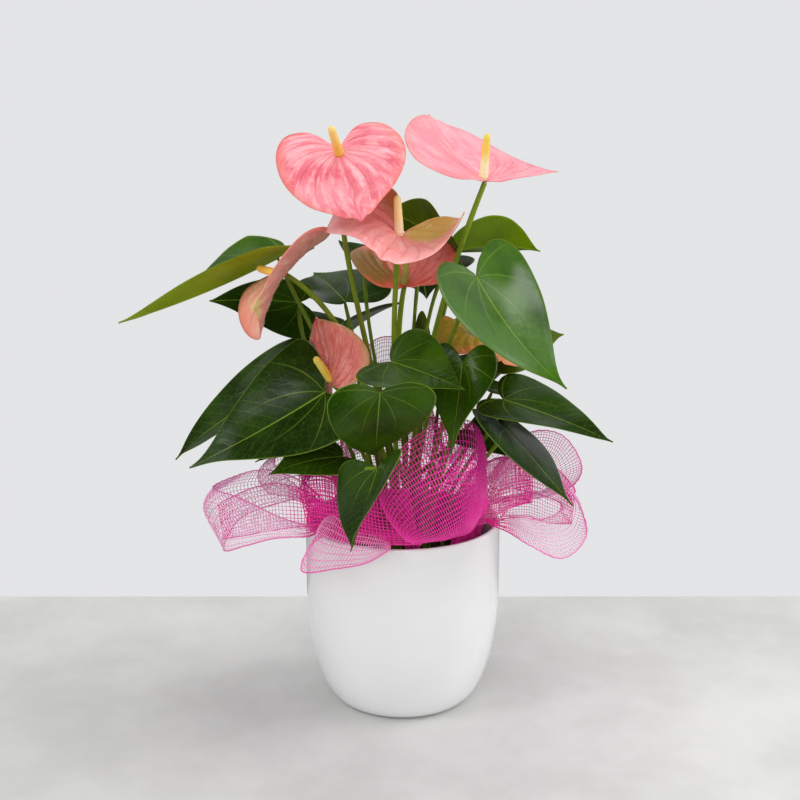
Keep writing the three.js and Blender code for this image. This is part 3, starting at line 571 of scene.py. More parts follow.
def spathe_look(name, main, pale, vein, edge, veined=0.4, painted_sheen=0.6, edged=0.6, patches=()):
    """A spathe's face: glossy, with sunken veins that fan out from its joint and bend to the
    tip, pale streaks along them that are painted highlights of its shine, and for some
    patches of another colour. Each patch has a colour, a place on the flat blade and a radius."""
    look = Look(name, Roughness=0.3, Specular_IOR_Level=0.35)
    across = look.map("grid")[1]
    share = abs(across)
    x, signed = look.map("flat")
    y = abs(signed)
    reach = hypotenuse(x, y)
    angle = y.math("ARCTAN2", x)
    wobble = (reach * WOBBLE_PITCH + angle * WOBBLE_TURN).math("SINE")
    fan = angle / (reach * (-FAN_CLOSING * FAN_STEP) + FAN_STEP) + wobble * FAN_WOBBLE
    fans = fan.lines(0.035 / (reach + 0.12)) * fan.step(0.4, 0.8) * share.step(1.0, 0.7)
    midrib = y.step(0.016, 0.0) * x.step(-0.04, -0.01)
    net = look.cells(11.0, look.vector(x, signed)).step(0.07, 0.0)
    veins = midrib.most(fans, net * 0.45)
    side = across.step(-0.01, 0.01) * 7.0
    # Painted highlights: pale streaks along the veins that stand in for the shine on the swellings
    streaks = look.noise(1.0, look.vector(fan * 2.3, reach * 4.0, side), detail=4.0)
    tone = look.mix(look.noise(34.0).step(0.38, 0.66) * 0.45, main, pale)
    tone = look.mix(streaks.step(0.47, 0.62) * painted_sheen, tone, pale)
    tone = look.mix(veins * veined, tone, vein)
    edging = look.noise(45.0) * 0.2 + share
    tone = look.mix(edging.step(0.9, 1.12) * edged, tone, edge)
    for colour, (patch_x, patch_y), radius in patches:
        far = look.noise(60.0) * 0.2 + hypotenuse(x - patch_x, signed - patch_y)
        tone = look.mix(far.step(radius + 0.24, radius + 0.04) * 0.9, tone, colour)
    return look.finish(tone, look.noise(160.0) * 0.4 + veins * -0.8, 0.0005, 0.6)


def stalk_look(name, green, tint, tint_amount):
    """A stalk, glossy, with fine lengthwise streaks."""
    look = Look(name, Roughness=0.33, Specular_IOR_Level=0.16)
    streaks = look.noise(160.0, detail=2.0).step(0.35, 0.7)
    tone = look.mix(streaks * 0.4, green, shade(green, 1.5))
    tone = look.mix(look.noise(22.0).step(0.4, 0.65) * tint_amount, tone, tint)
    return look.finish(tone, look.noise(400.0, detail=1.0), 0.0003, 0.3)


def spadix_look(name, low, high, middle):
    """A spadix of tiny flowers. It changes from its low colour to its high one at middle, and
    has painted shade in the hollows between its bumps.
    """
    look = Look(name, Roughness=0.6, Specular_IOR_Level=0.3)
    u, bump = look.map("rod")
    share = look.noise(220.0) * 0.12 + u
    tone = look.mix(share.step(middle - 0.12, middle + 0.2), low, high)
    # Painted shade: darker in the hollows between the bumps
    tone = look.mix(bump.step(0.45, 0.0, high=0.5), tone, shade(high, 0.55))
    return look.finish(tone, look.noise(1500.0, detail=2.0), 0.0002, 0.4)


def glaze_look():
    """White glaze, with faint rings from the potter's wheel."""
    look = Look("white_glaze", Roughness=0.2, Specular_IOR_Level=0.5, Coat_Weight=0.6,
                Coat_Roughness=0.06)
    height = look.parts(look.place())[2]
    rings = look.noise(1.0, look.vector(0.0, 0.0, height * 900.0))
    tone = look.mix(look.noise(14.0).step(0.35, 0.7), (0.84, 0.845, 0.85), (0.88, 0.88, 0.88))
    return look.finish(tone, look.noise(60.0) * 0.8 + rings * 0.25, 0.0004, 0.35)


def grower_look():
    look = Look("dark_plastic", Roughness=0.5, Specular_IOR_Level=0.4)
    tone = look.mix(look.noise(90.0), (0.012, 0.011, 0.01), (0.035, 0.03, 0.026))
    return look.finish(tone, look.noise(500.0), 0.0002, 0.4)


def soil_look():
    look = Look("peat", Roughness=0.95, Specular_IOR_Level=0.2)
    grains = look.cells(420.0, feature="F1")
    tone = look.mix(look.noise(160.0).step(0.35, 0.7), (0.012, 0.008, 0.005), (0.06, 0.036, 0.02))
    tone = look.mix(look.noise(600.0).step(0.66, 0.74), tone, (0.16, 0.1, 0.055))
    return look.finish(tone, look.noise(300.0) * 1.2 + grains, 0.002, 0.9)


def mesh_look(name, near, far):
    """Strands of the net: deep pink where it is gathered, and paler where it hangs free, as
    painted light shining through the thin net.
    """
    look = Look(name, Roughness=0.35, Specular_IOR_Level=0.4)
    free = look.map("run")[0]
    # Painted light: paler where the band hangs free
    painted_light = look.noise(45.0) * 0.5 + (free - 0.25)
    return look.finish(look.mix(painted_light.step(0.1, 0.75), near, far),
                       look.noise(1800.0, detail=1.0), 0.0001, 0.5)


# Blades

class Blade:
    """A leaf or spathe, with its own three directions."""

    def __init__(self, values, outline, index):
        for name, value in values.items():
            setattr(self, name, value)
        self.outline = outline
        self.phase = index * PHASE_STEP
        self.base = np.array(self.at, float)
        self.forward = unit(np.array(self.along, float))
        up = np.array(self.faces, float)
        self.up = unit(up - self.forward * np.dot(up, self.forward))
        self.left = np.cross(self.up, self.forward)

    def surface(self, t, across, relief):
        """Points of the blade's middle surface, and its flat coordinates. t runs round the
        margin from the notch to the tip, and across from -1 to 1."""
        edge = through(self.outline, t)
        midrib = t ** MIDRIB_CROWDING
        share = np.abs(across)
        right = across < 0

        def half(pair):
            return np.where(right, pair[1], pair[0])

        lobed = np.where(edge[..., 0] < 0, edge[..., 0] * self.lobe, edge[..., 0])
        x = midrib + (lobed - midrib) * share
        flat_y = edge[..., 1] * self.width * share
        out, lift = bend(half(np.radians(self.fold)), 2 * half(np.radians(self.curl)), flat_y)
        ends = np.minimum(1, 4 * t) * np.minimum(1, 4 * (1 - t))
        phase = self.phase + half((0, 2))
        lift = lift + self.wave * share ** 2 * ends * np.sin(FULL_TURN * self.waves * t + phase)
        lift = lift + half(self.rise) * share ** 2 * np.sin(math.pi * np.minimum(1, 2 * t))
        lift = lift + relief(t, share, x, flat_y) / self.length
        y = np.where(right, -out, out)
        turn = math.radians(self.twist) * x
        turned_y = y * np.cos(turn) - lift * np.sin(turn)
        turned_z = y * np.sin(turn) + lift * np.cos(turn)
        bending = np.where(x < 0, -math.radians(self.back), math.radians(self.droop))
        onward, down = bend(0, bending, x)
        slope = bending * x
        ahead = (onward + turned_z * np.sin(slope))[..., None]
        above = (turned_z * np.cos(slope) - down)[..., None]
        points = self.base + self.length * (
            self.forward * ahead + self.left * turned_y[..., None] + self.up * above)
        return points, np.stack([x, np.where(right, -flat_y, flat_y)], axis=-1)


def place_roots(blades):
    """Roots on rings in the crown, each ring in the order of its blades' directions."""
    def heading(blade):
        return math.atan2(blade.at[1], blade.at[0])

    for ring, radius in enumerate(RINGS):
        members = sorted((blade for blade in blades if blade.ring == ring), key=heading)
        pitch = FULL_TURN / len(members)
        headings = [heading(blade) - i * pitch for i, blade in enumerate(members)]
        start = math.atan2(sum(map(math.sin, headings)), sum(map(math.cos, headings)))
        for i, blade in enumerate(members):
            angle = start + i * pitch
            blade.root = (radius * math.cos(angle), radius * math.sin(angle))


STALK_STEPS = 40
UNDERGROUND_STEPS = 4


def stalk_path(blade):
    """The stalk leaves the soil upright, and arrives from below its blade."""
    low = np.array([*blade.root, SOIL_TOP - ROOT_DEPTH], float)
    ground = np.array([*blade.root, SOIL_TOP + SOIL_MOUND], float)
    rise = blade.base - ground
    reach = np.linalg.norm(rise)
    arrival = unit(unit(rise) + blade.up * STALK_TILT)
    corners = [ground, ground + [0, 0, STALK_RISE * reach],
               blade.base - arrival * STALK_ARRIVAL * reach + np.array(blade.bow), blade.base]
    u = np.linspace(0, 1, STALK_STEPS)[:, None]
    curve = ((1 - u) ** 3 * corners[0] + 3 * u * (1 - u) ** 2 * corners[1]
             + 3 * u * u * (1 - u) * corners[2] + u ** 3 * corners[3])
    below = low + (ground - low) * np.linspace(0, 1, UNDERGROUND_STEPS + 1)[:-1, None]
    return np.vstack([below, curve])


KNEE_PLACE = 0.9           # of a stalk, as a share of its length
KNEE_REACH = 0.05


def stalk(path, thick, thin, knee, last, sides):
    """Points and faces of a stalk that narrows upwards, with a swollen knee below its
    blade. last is its end's radius as a share."""
    u = np.linspace(0, 1, len(path))
    radii = thick + (thin - thick) * u + knee * np.exp(-((u - KNEE_PLACE) / KNEE_REACH) ** 2)
    radii[-1] *= last
    return tube(path, radii, sides)


BLADE_ROWS = 66
BLADE_COLUMNS = 44
COLUMN_CROWDING = 1.4      # packs the columns towards the midrib
MARGIN_START = 0.8         # from here to its edge a blade gets thinner
MARGIN_THINNING = 0.55
RIB_REACH = 1.1            # half the width of a midrib
RIB_ABOVE = 0.25           # share of a midrib that sinks into the upper face


def blade_sheet(blade, relief, thickness, rib):
    """A closed blade: points, faces, each face's side (0 upper, 1 lower) and both maps.
    rib thickens the lower side along the midrib."""
    t = np.linspace(0, 1, BLADE_ROWS)
    even = np.linspace(-1, 1, BLADE_COLUMNS + 1)
    t, across = np.meshgrid(t, np.sign(even) * np.abs(even) ** COLUMN_CROWDING, indexing="ij")
    middle, flat = blade.surface(t, across, relief)
    normals = grid_normals(middle)
    normals[-1] = normals[-2]
    half = thickness / 2 * (1 - MARGIN_THINNING * smooth_step(MARGIN_START, 1, np.abs(across)))
    off = np.abs(flat[..., 1]) * blade.length
    ridge = rib * np.exp(-(off / RIB_REACH) ** 2) * np.clip(1.05 - t, 0, 1)
    upper = middle + normals * (half - RIB_ABOVE * ridge)[..., None]
    lower = middle - normals * (half + ridge)[..., None]
    rows, columns = t.shape
    under = rows * columns
    grid = np.arange(under).reshape(rows, columns)
    loop = np.concatenate([grid[:-1, 0], grid[-1, :-1], grid[:0:-1, -1], grid[0, :0:-1]])
    after = np.roll(loop, -1)
    rim = np.stack([after, loop, loop + under, after + under], axis=-1)
    face = grid_faces(rows, columns)
    sides = np.repeat([0, 1, 0], [len(face), len(face), len(rim)])
    points = np.vstack([upper.reshape(-1, 3), lower.reshape(-1, 3)])
    maps = {"flat": np.tile(flat.reshape(-1, 2), (2, 1)),
            "grid": np.tile(np.stack([t, across], axis=-1).reshape(-1, 2), (2, 1))}
    return points, np.vstack([face, grid_faces(rows, columns, under, flip=True), rim]), sides, maps


def leaf_relief(t, share, x, y):
    """Low swellings between the side veins of a leaf, in millimetres."""
    slant = (x - RIB_SLANT * y - RIB_BEND * y * y) / RIB_SPACING
    swell = np.abs(np.sin(math.pi * slant)) ** 0.8
    return 0.22 * swell * smooth_step(0.02, 0.25, share) * smooth_step(1, 0.8, share)


def spathe_relief(t, share, x, y):
    """Swellings between the veins of a spathe, shallow dents and a ruffled edge, in
    millimetres."""
    reach = np.hypot(x, y)
    angle = np.arctan2(y, x)
    fan = (angle / (FAN_STEP * (1 - FAN_CLOSING * reach))
           + FAN_WOBBLE * np.sin(WOBBLE_PITCH * reach + WOBBLE_TURN * angle))
    swell = np.abs(np.sin(math.pi * fan)) ** 0.7
    fade = smooth_step(0.03, 0.3, reach) * smooth_step(1, 0.75, share)
    dents = np.sin(23 * x + 2 * np.sin(17 * y)) * np.sin(29 * y + 2 * np.sin(19 * x))
    ruffle = np.sin(31 * t + 3 * np.sin(7 * t)) * share ** 3 * smooth_step(0, 0.1, t)
    return (1.2 * swell + 0.3 * dents) * fade + 0.5 * ruffle * smooth_step(1, 0.85, t)


def make_leaf(blade, node, looks):
    """A leaf's blade and stalk. looks are the upper face's, the lower one's and the stalk's."""
    points, faces, sides, maps = blade_sheet(blade, leaf_relief, thickness=0.55, rib=0.75)
    stalk_points, stalk_faces = stalk(stalk_path(blade), thick=1.6, thin=1.3, knee=0.3,
                                      last=0.6, sides=10)
    faces = faces.tolist() + [[len(points) + k for k in f] for f in stalk_faces]
    maps = {key: np.vstack([value, np.zeros((len(stalk_points), 2))])
            for key, value in maps.items()}
    make_piece(node + "_blade", node, "leaf", np.vstack([points, stalk_points]), faces, looks,
               list(sides) + [2] * len(stalk_faces), maps)


SPADIX_RINGS = 90
SPADIX_SIDES = 60
BEAD_ROWS = 5              # spirals of beads each way round
BEAD_TWIST = 0.62          # radians that they turn in a millimetre
BEAD_SKEW = 1.15           # how much more the others turn
BEAD_HEIGHT = 0.11         # as a share of a spadix's radius, as are the next two
BEAD_FOOT = 0.9
FOOT_RADIUS = 0.8
FOOT_LENGTH = 0.08         # as a share of its length, as are the next two
TIP_START = 0.86           # where it starts to round off
TIP_LENGTH = 0.14


def make_spadix(blade, node, look):
    """A tapering rod covered with small bumps in spirals."""
    length = blade.spadix_length
    u = np.linspace(0, 1, SPADIX_RINGS)
    tip = np.clip((u - TIP_START) / TIP_LENGTH, 0, 1)
    radius = (SPADIX_RADIUS - SPADIX_TAPER * u) * np.sqrt(np.maximum(0, 1 - tip ** 2 * 0.98))
    radius *= FOOT_RADIUS + 0.2 * smooth_step(0, FOOT_LENGTH, u)
    angles = ring_angles(SPADIX_SIDES)
    turns = length * BEAD_TWIST
    first = np.sin(BEAD_ROWS * angles[None, :] + turns * u[:, None])
    second = np.sin(BEAD_ROWS * angles[None, :] - turns * u[:, None] * BEAD_SKEW)
    bump = np.abs(first * second) ** 0.5
    outer = radius[:, None] * (BEAD_FOOT + BEAD_HEIGHT * bump)
    axis = unit(np.array(blade.spadix, float))
    side = unit(np.cross(axis, [0.2, 0.3, 0.9] if abs(axis[2]) < 0.9 else [1, 0.2, 0]))
    other = np.cross(axis, side)
    start = blade.base + blade.forward * SPADIX_OFFSET
    points = (start + axis * (length * u)[:, None, None]
              + side * (outer * np.cos(angles))[..., None]
              + other * (outer * np.sin(angles))[..., None])
    rod = np.stack([np.repeat(u[:, None], SPADIX_SIDES, axis=1), bump], axis=-1)
    make_piece(node + "_rod", node, "spadix", points.reshape(-1, 3),
               closed_rings(SPADIX_RINGS, SPADIX_SIDES), [look], maps={"rod": rod.reshape(-1, 2)})


STEM_SHORTENING = 0.12     # of a stem's last step, to end below its spathe


def make_flower(blade, name, index):
    looks = [spathe_look(f"{name}_{side}", **values)
             for side, values in zip(("upper", "lower"), SPATHE_LOOKS[index])]
    points, faces, sides, maps = blade_sheet(blade, spathe_relief, thickness=0.6, rib=0.7)
    make_piece(name + "_spathe_skin", name + "_spathe", "spathe", points, faces, looks, sides, maps)
    make_spadix(blade, name + "_spadix", spadix_look(name + "_spadix_look", *SPADIX_LOOKS[index]))
    path = stalk_path(blade)
    path[-1] += (path[-2] - path[-1]) * STEM_SHORTENING
    points, faces = stalk(path, thick=2.0, thin=1.75, knee=0.15, last=1, sides=14)
    tint = RUSTY_STEM if index in RUSTY_FLOWERS else GREEN_STEM
    look = stalk_look(name + "_stem_look", STEM_GREEN, tint, 0.35)
    make_piece(name + "_stem_tube", name + "_stem", "stem", points, faces, [look])


def make_plant():
    leaves = [Blade(values, LEAF_OUTLINE, i) for i, values in enumerate(LEAVES)]
    flowers = [Blade(values, SPATHE_OUTLINE, i) for i, values in enumerate(FLOWERS)]
    place_roots(leaves + flowers)
    petiole = stalk_look("leaf_stalk", PETIOLE_GREEN, PETIOLE_TINT, 0.3)
    looks = {}
    for tone, (deep, fresh, gloss) in LEAF_LOOKS.items():
        upper = leaf_look(f"leaf_{tone}", deep, fresh, gloss)
        pale = LEAF_UNDERS.get(tone, (shade(deep, 1.3), shade(fresh, 1.3)))
        looks[tone] = (upper, leaf_look(f"leaf_{tone}_under", *pale, gloss, True), petiole)
    for i, blade in enumerate(leaves):
        make_leaf(blade, f"leaf_{i + 1:02d}", looks[LEAF_TONES[i]])
    for i, blade in enumerate(flowers):
        make_flower(blade, f"flower_{i + 1:02d}", i)


# Decorative mesh

STRAND = 0.25              # half the diagonal of a strand's square section
STRAND_PITCH = 2.1
WEAVE = 0.12               # how far strands pass over and under each other
SELVAGE = 0.5
BRAID_DEPTH = 0.25         # of the selvage
BRAID_TURN = 2.2
FOLDS = 3                  # across a band's ends
FILL_FOLDS = 2
FOLD_DEPTH = 2.2           # of the gathers at a band's ends
RIPPLE_DEPTH = 0.5
GATHER_FADE = (0.26, 0.1)  # shares of a band's length, from its end, where gathers fade
FREE_RISE = (0.12, 0.3)    # and where the band comes free
LAYER_WIDENING = 0.03      # of the strands' pitch, for each millimetre between layers
FEWEST_CELLS = 6


def soil_radius(height):
    share = (height - POT_FLOOR) / (GROWER_TOP - POT_FLOOR)
    grower_radius = GROWER_FOOT + (GROWER_RADIUS - GROWER_FOOT) * share
    return grower_radius - GROWER_WALL - 2 * CLEARANCE


def soil_height(radius):
    return SOIL_TOP + SOIL_MOUND * (1 - radius / soil_radius(SOIL_TOP))


def tuck_points(tuck, row, count, turn):
    """The two lowest points of a row at a tucked end, from the soil up."""
    radius = math.hypot(*tuck)
    out = (tuck[0] / radius, tuck[1] / radius)
    aside = turn * TUCK_SPACING * (row - (count - 1) / 2)

    def place(distance, height):
        return [out[0] * distance - out[1] * aside, out[1] * distance + out[0] * aside, height]

    return [place(radius, soil_height(radius) + CLEARANCE),
            place(radius + TUCK_LEAN, POT_HEIGHT + OVER_RIM)]


def band_rows(tucks, rows):
    """A band's rows of points, from the soil to the soil."""
    return [tuck_points(tucks[0], k, len(rows), 1) + row
            + tuck_points(tucks[1], k, len(rows), -1)[::-1] for k, row in enumerate(rows)]


def band_points(rows, u, v):
    """Points of a band's surface, u along it and v across it, both from 0 to 1."""
    lines = np.stack([through(row, u) for row in rows])
    return through(lines, v).transpose(1, 0, 2)


def strands(paths, normals, radius):
    """Points and quads of closed square strands, for many paths with as many points each."""
    count, steps, _ = paths.shape
    tangents = unit(np.gradient(paths, axis=1))
    sides = unit(np.cross(tangents, normals))
    offsets = np.stack([sides, normals, -sides, -normals], axis=2) * radius
    points = (paths[:, :, None, :] + offsets).reshape(-1, 3)
    last = (steps - 1) * 4
    per_strand = np.vstack([grid_faces(steps, 4, closed=True), [[0, 1, 2, 3]],
                            [[last + 3, last + 2, last + 1, last]]])
    starts = np.arange(count) * steps * 4
    return points, (per_strand[None, :, :] + starts[:, None, None]).reshape(-1, 4)


def joined(parts):
    """Several meshes as one. Each is points, faces, and numbers per face and per point."""
    starts = np.cumsum([0] + [len(part[0]) for part in parts])
    return (np.vstack([part[0] for part in parts]),
            np.vstack([part[1] + start for part, start in zip(parts, starts)]),
            np.concatenate([part[2] for part in parts]),
            np.concatenate([part[3] for part in parts]))


def weave(points, free, radius):
    """A net through a grid of points: points, quads, each quad's material, and at each point
    the share of painted light, which grows where the band hangs free."""
    normals = grid_normals(points)
    checks = (np.indices(points.shape[:2]).sum(axis=0) % 2 * 2 - 1)[..., None]
    warp = (points + normals * checks * WEAVE).transpose(1, 0, 2)
    weft = points - normals * checks * WEAVE
    edges = points[:, [0, -1]].transpose(1, 0, 2)
    edge_normals = normals[:, [0, -1]].transpose(1, 0, 2)
    braid = BRAID_DEPTH * np.sin(BRAID_TURN * np.arange(len(points)))[None, :, None]
    sets = [(warp[1:-1], normals.transpose(1, 0, 2)[1:-1], radius, True, 0),
            (weft, normals, radius, False, 0),
            (edges + edge_normals * braid, edge_normals, SELVAGE, True, 1)]
    parts = []
    for paths, path_normals, thickness, lengthwise, material in sets:
        strand_points, faces = strands(paths, path_normals, thickness)
        share = np.tile(free, len(paths)) if lengthwise else np.repeat(free, paths.shape[1])
        parts.append((strand_points, faces, np.full(len(faces), material), np.repeat(share, 4)))
    return joined(parts)


def make_band(name, node, rows, looks, folds, painted_light=1, radius=STRAND, layers=(0,)):
    """A band of net through rows of points, with crumpled folds, in one or more layers."""
    rough = band_points(rows, np.linspace(0, 1, 200), np.linspace(0, 1, 9))
    length = np.linalg.norm(np.diff(rough, axis=0), axis=-1).sum(axis=0).mean()
    width = np.linalg.norm(np.diff(rough, axis=1), axis=-1).sum(axis=1).mean()
    parts = []
    for layer in layers:
        pitch = STRAND_PITCH * (1 + LAYER_WIDENING * abs(layer))
        u = np.linspace(0, 1, int(length / pitch) + 1)[:, None]
        v = np.linspace(0, 1, max(FEWEST_CELLS, int(width / pitch)) + 1)[None, :]
        points = band_points(rows, u[:, 0], v[0])
        ends = np.minimum(u, 1 - u)
        gather = smooth_step(*GATHER_FADE, ends) * smooth_step(0, 0.05, ends)
        free = smooth_step(*FREE_RISE, ends)
        phase = sum(map(ord, name)) + 2 * layer
        waves = np.sin(FULL_TURN * (folds * v + 0.35 * np.sin(9 * u) + phase))
        ripples = (np.sin(FULL_TURN * (3.1 * u + 1.3 * v) + phase)
                   + 0.6 * np.sin(FULL_TURN * (6.3 * u - 0.8 * v) + 2 * phase))
        height = FOLD_DEPTH * gather * waves + RIPPLE_DEPTH * free * ripples + layer
        points = points + grid_normals(points) * height[..., None]
        # The free parts get painted light, as if lit through the thin net
        parts.append(weave(points, free[:, 0] * painted_light, radius))
    points, faces, choices, free = joined(parts)
    maps = {"run": np.stack([free, np.zeros(len(free))], axis=-1)}
    piece = make_piece(name + "_net", node, "deco_mesh", points, faces, looks, choices, maps)


def make_nets():
    # The paler colours are painted light for where the net hangs free
    looks = [mesh_look("net_strand", DEEP_PINK, PAINTED_LIT_PINK),
             mesh_look("net_selvage", SELVAGE_PINK, PAINTED_LIT_SELVAGE_PINK)]
    for name, (tucks, *rows) in MESH_LOOPS.items():
        make_band(name, name, band_rows(tucks, rows), looks, FOLDS, **BAND_LOOKS.get(name, {}))
    for name, rows in NET_FILLS.items():
        make_band(name, None, rows, looks, FILL_FOLDS, **BAND_LOOKS.get(name, {}))


# Pot and soil

POT_SEGMENTS = 128
GROWER_SEGMENTS = 96
FOOT_RING = 3              # width of the ring that the pot stands on
FOOT_HOLLOW = 0.6          # depth of the hollow inside it
BELLY_CROWDING = 1.6       # packs the belly's points towards the foot


def pot_radius(height):
    if height >= POT_BELLY:
        return POT_RADIUS
    drop = 1 - height / POT_BELLY
    return POT_FOOT + (POT_RADIUS - POT_FOOT) * math.sqrt(1 - drop * drop)


def make_pot():
    lip = POT_WALL / 2
    ring = POT_FOOT - FOOT_RING
    profile = [(0, FOOT_HOLLOW), (ring - 1, FOOT_HOLLOW), (ring, 0), (POT_FOOT, 0)]
    profile += [(pot_radius(z), z) for z in POT_BELLY * np.linspace(0, 1, 33)[1:] ** BELLY_CROWDING]
    profile += [(POT_RADIUS, z) for z in np.linspace(POT_BELLY, POT_HEIGHT - lip, 9)[1:]]
    profile += [(POT_RADIUS - lip + lip * math.cos(a), POT_HEIGHT - lip + lip * math.sin(a))
                for a in np.linspace(0, math.pi, 13)[1:]]
    inner = np.linspace(POT_HEIGHT - lip, POT_FLOOR + 6, 26)[1:]
    profile += [(pot_radius(z) - POT_WALL, z) for z in inner]
    profile += [(POT_FOOT, POT_FLOOR), (0, POT_FLOOR)]
    make_piece("cover_pot", "pot", "pot", *lathe(profile, POT_SEGMENTS), [glaze_look()])


def make_grower():
    base = POT_FLOOR + CLEARANCE
    inner = GROWER_RADIUS - GROWER_WALL
    profile = [(0, base), (GROWER_FOOT - 1, base), (GROWER_FOOT, base + 1),
               (GROWER_RADIUS - 0.6, GROWER_TOP - 4), (GROWER_RADIUS, GROWER_TOP - 3.6),
               (GROWER_RADIUS, GROWER_TOP - 0.6), (GROWER_RADIUS - 0.5, GROWER_TOP),
               (inner, GROWER_TOP), (inner - 0.1, GROWER_TOP - 1),
               (GROWER_FOOT - GROWER_WALL, base + GROWER_WALL), (0, base + GROWER_WALL)]
    make_piece("grower_pot", "nursery_pot", "nursery_pot", *lathe(profile, GROWER_SEGMENTS),
               [grower_look()])


SOIL_RINGS = 44
SOIL_SEGMENTS = 120
LUMPS = ((0.9, 3, 4), (0.5, 9, 1.6))    # depth, layer of the noise and size
CRUMBS = 520
CRUMB_REACH = 54           # how far from the axis crumbs lie
CRUMB_FLATNESS = 0.6
CRUMB_LEAST = 0.7          # size of the smallest
CRUMB_RANGE = 1.5
# A crumb is an octahedron
CRUMB_POINTS = [(1, 0, 0), (0, 1, 0), (-1, 0, 0), (0, -1, 0), (0, 0, 1), (0, 0, -1)]
CRUMB_FACES = [(0, 1, 4), (1, 2, 4), (2, 3, 4), (3, 0, 4), (1, 0, 5), (2, 1, 5), (3, 2, 5),
               (0, 3, 5)]


def make_soil():
    """Rough potting soil with loose crumbs on it."""
    base = POT_FLOOR + 2 * CLEARANCE + GROWER_WALL
    edge = soil_radius(SOIL_TOP)
    profile = [(0, base), (soil_radius(base), base)]
    radii = [edge * (1 - k / SOIL_RINGS) + 0.01 for k in range(SOIL_RINGS)] + [0]
    profile += [(r, soil_height(r) - 0.3) for r in radii]
    points, faces = lathe(profile, SOIL_SEGMENTS)
    for k, (x, y, z) in enumerate(points):
        if z > SOIL_TOP - 2:
            lump = sum(depth * noise.noise(Vector((x, y, layer)) / size)
                       for depth, layer, size in LUMPS)
            points[k, 2] = z + lump * min(1, (edge - math.hypot(x, y)) / 2)
    points = points.tolist()
    chance = random.Random(5)
    for _ in range(CRUMBS):
        radius = CRUMB_REACH * math.sqrt(chance.random())
        angle = chance.random() * FULL_TURN
        size = CRUMB_LEAST + CRUMB_RANGE * chance.random() ** 2
        centre = Vector((radius * math.cos(angle), radius * math.sin(angle),
                         soil_height(radius) + size * 0.1))
        turning = chance.random() * 6
        axis = Vector([chance.random() - 0.5 for _ in range(3)]).normalized()
        turn = Matrix.Rotation(turning, 3, axis)
        start = len(points)
        for corner in CRUMB_POINTS:
            rough = Vector(corner) * size * (0.75 + 0.5 * chance.random())
            rough.z *= CRUMB_FLATNESS
            points.append(tuple(centre + turn @ rough))
        faces += [[start + k for k in face] for face in CRUMB_FACES]
    make_piece("potting_soil", "soil", "soil", points, faces, [soil_look()])


# Camera, floor and light

PHOTO_WIDTH = 800
FOCAL_PIXELS = 1456.3
SENSOR = 36
CAMERA_PLACE = (-0.002, -1.0, 0.4754)
CAMERA_DOWN = 14.16        # degrees below the horizon
FLOOR_BACK = 0.186         # where the photograph's wall begins
FLOOR_REACH = 4
BACKDROP = (0.775, 0.78, 0.79)
AIM = (0, 0, 0.25)
# Place, width and height in metres, and watts, of each lamp
LAMPS = {
    "key": ((-1.3, -0.9, 1.4), (0.8, 0.8), 9),
    "side": ((1.6, 0.0, 0.95), (1.2, 1.4), 18),
    "top": ((0.1, 0.5, 1.8), (1.2, 0.8), 8),
    "fill": ((-0.4, -2.2, 1.2), (1.6, 1.2), 16),
}


def make_camera():
    data = bpy.data.cameras.new("camera")
    data.sensor_width = SENSOR
    data.lens = SENSOR * FOCAL_PIXELS / PHOTO_WIDTH
    camera = show("camera", data)
    camera.location = CAMERA_PLACE
    camera.rotation_euler = (math.radians(90 - CAMERA_DOWN), 0, 0)
    bpy.context.scene.camera = camera


def make_floor():
    """A pale floor that ends behind the pot."""
    mesh = bpy.data.meshes.new("floor")
    corners = [(x, y, 0) for x, y in ((-FLOOR_REACH, -FLOOR_REACH), (FLOOR_REACH, -FLOOR_REACH),
                                      (FLOOR_REACH, FLOOR_BACK), (-FLOOR_REACH, FLOOR_BACK))]
    mesh.from_pydata(corners, [], [(0, 1, 2, 3)])
    look = Look("pale_floor", Roughness=0.7, Specular_IOR_Level=0.3)
    mottle = look.noise(6.0, detail=8.0, roughness=0.65).step(0.35, 0.68)
    mesh.materials.append(look.finish(look.mix(mottle, (0.56, 0.56, 0.55), (0.66, 0.66, 0.65))))
    show("floor", mesh)


def make_light():
    """Soft studio light. The camera sees a plain backdrop, and the plant a sky that is
    lighter above."""
    world = bpy.data.worlds.new("studio")
    tree = Tree(world)
    up = tree.parts(tree.place("Generated"))[2]
    ramp = tree.node("ShaderNodeValToRGB", {0: up * 0.5 + 0.5})
    low, high = ramp.color_ramp.elements
    low.position = 0.45
    low.color = (0.34, 0.34, 0.34, 1)
    high.color = (0.66, 0.66, 0.67, 1)
    sky = tree.node("ShaderNodeBackground", {"Color": ramp.outputs[0]})
    seen = tree.node("ShaderNodeBackground", {"Color": BACKDROP})
    to_camera = tree.node("ShaderNodeLightPath").outputs["Is Camera Ray"]
    chosen = tree.node("ShaderNodeMixShader",
                       {0: to_camera, 1: sky.outputs[0], 2: seen.outputs[0]})
    tree.node("ShaderNodeOutputWorld", {"Surface": chosen.outputs[0]})
    bpy.context.scene.world = world
    for name, (place, size, power) in LAMPS.items():
        data = bpy.data.lights.new(name, "AREA")
        data.shape = "RECTANGLE"
        data.size, data.size_y = size
        data.energy = power
        lamp = show(name, data)
        lamp.location = place
        lamp.rotation_euler = (Vector(AIM) - Vector(place)).to_track_quat("-Z", "Y").to_euler()
    bpy.context.scene.view_settings.view_transform = "Standard"


# Colours

GREEN_VEIN = (0.2, 0.31, 0.03)
PALE_SPECK = (0.5, 0.55, 0.35)
PETIOLE_GREEN = (0.12, 0.21, 0.008)
PETIOLE_TINT = (0.16, 0.12, 0.02)
STEM_GREEN = (0.17, 0.26, 0.01)
GREEN_STEM = (0.2, 0.22, 0.015)
RUSTY_STEM = (0.22, 0.12, 0.03)
RUSTY_FLOWERS = (0, 3)     # by their places in FLOWERS
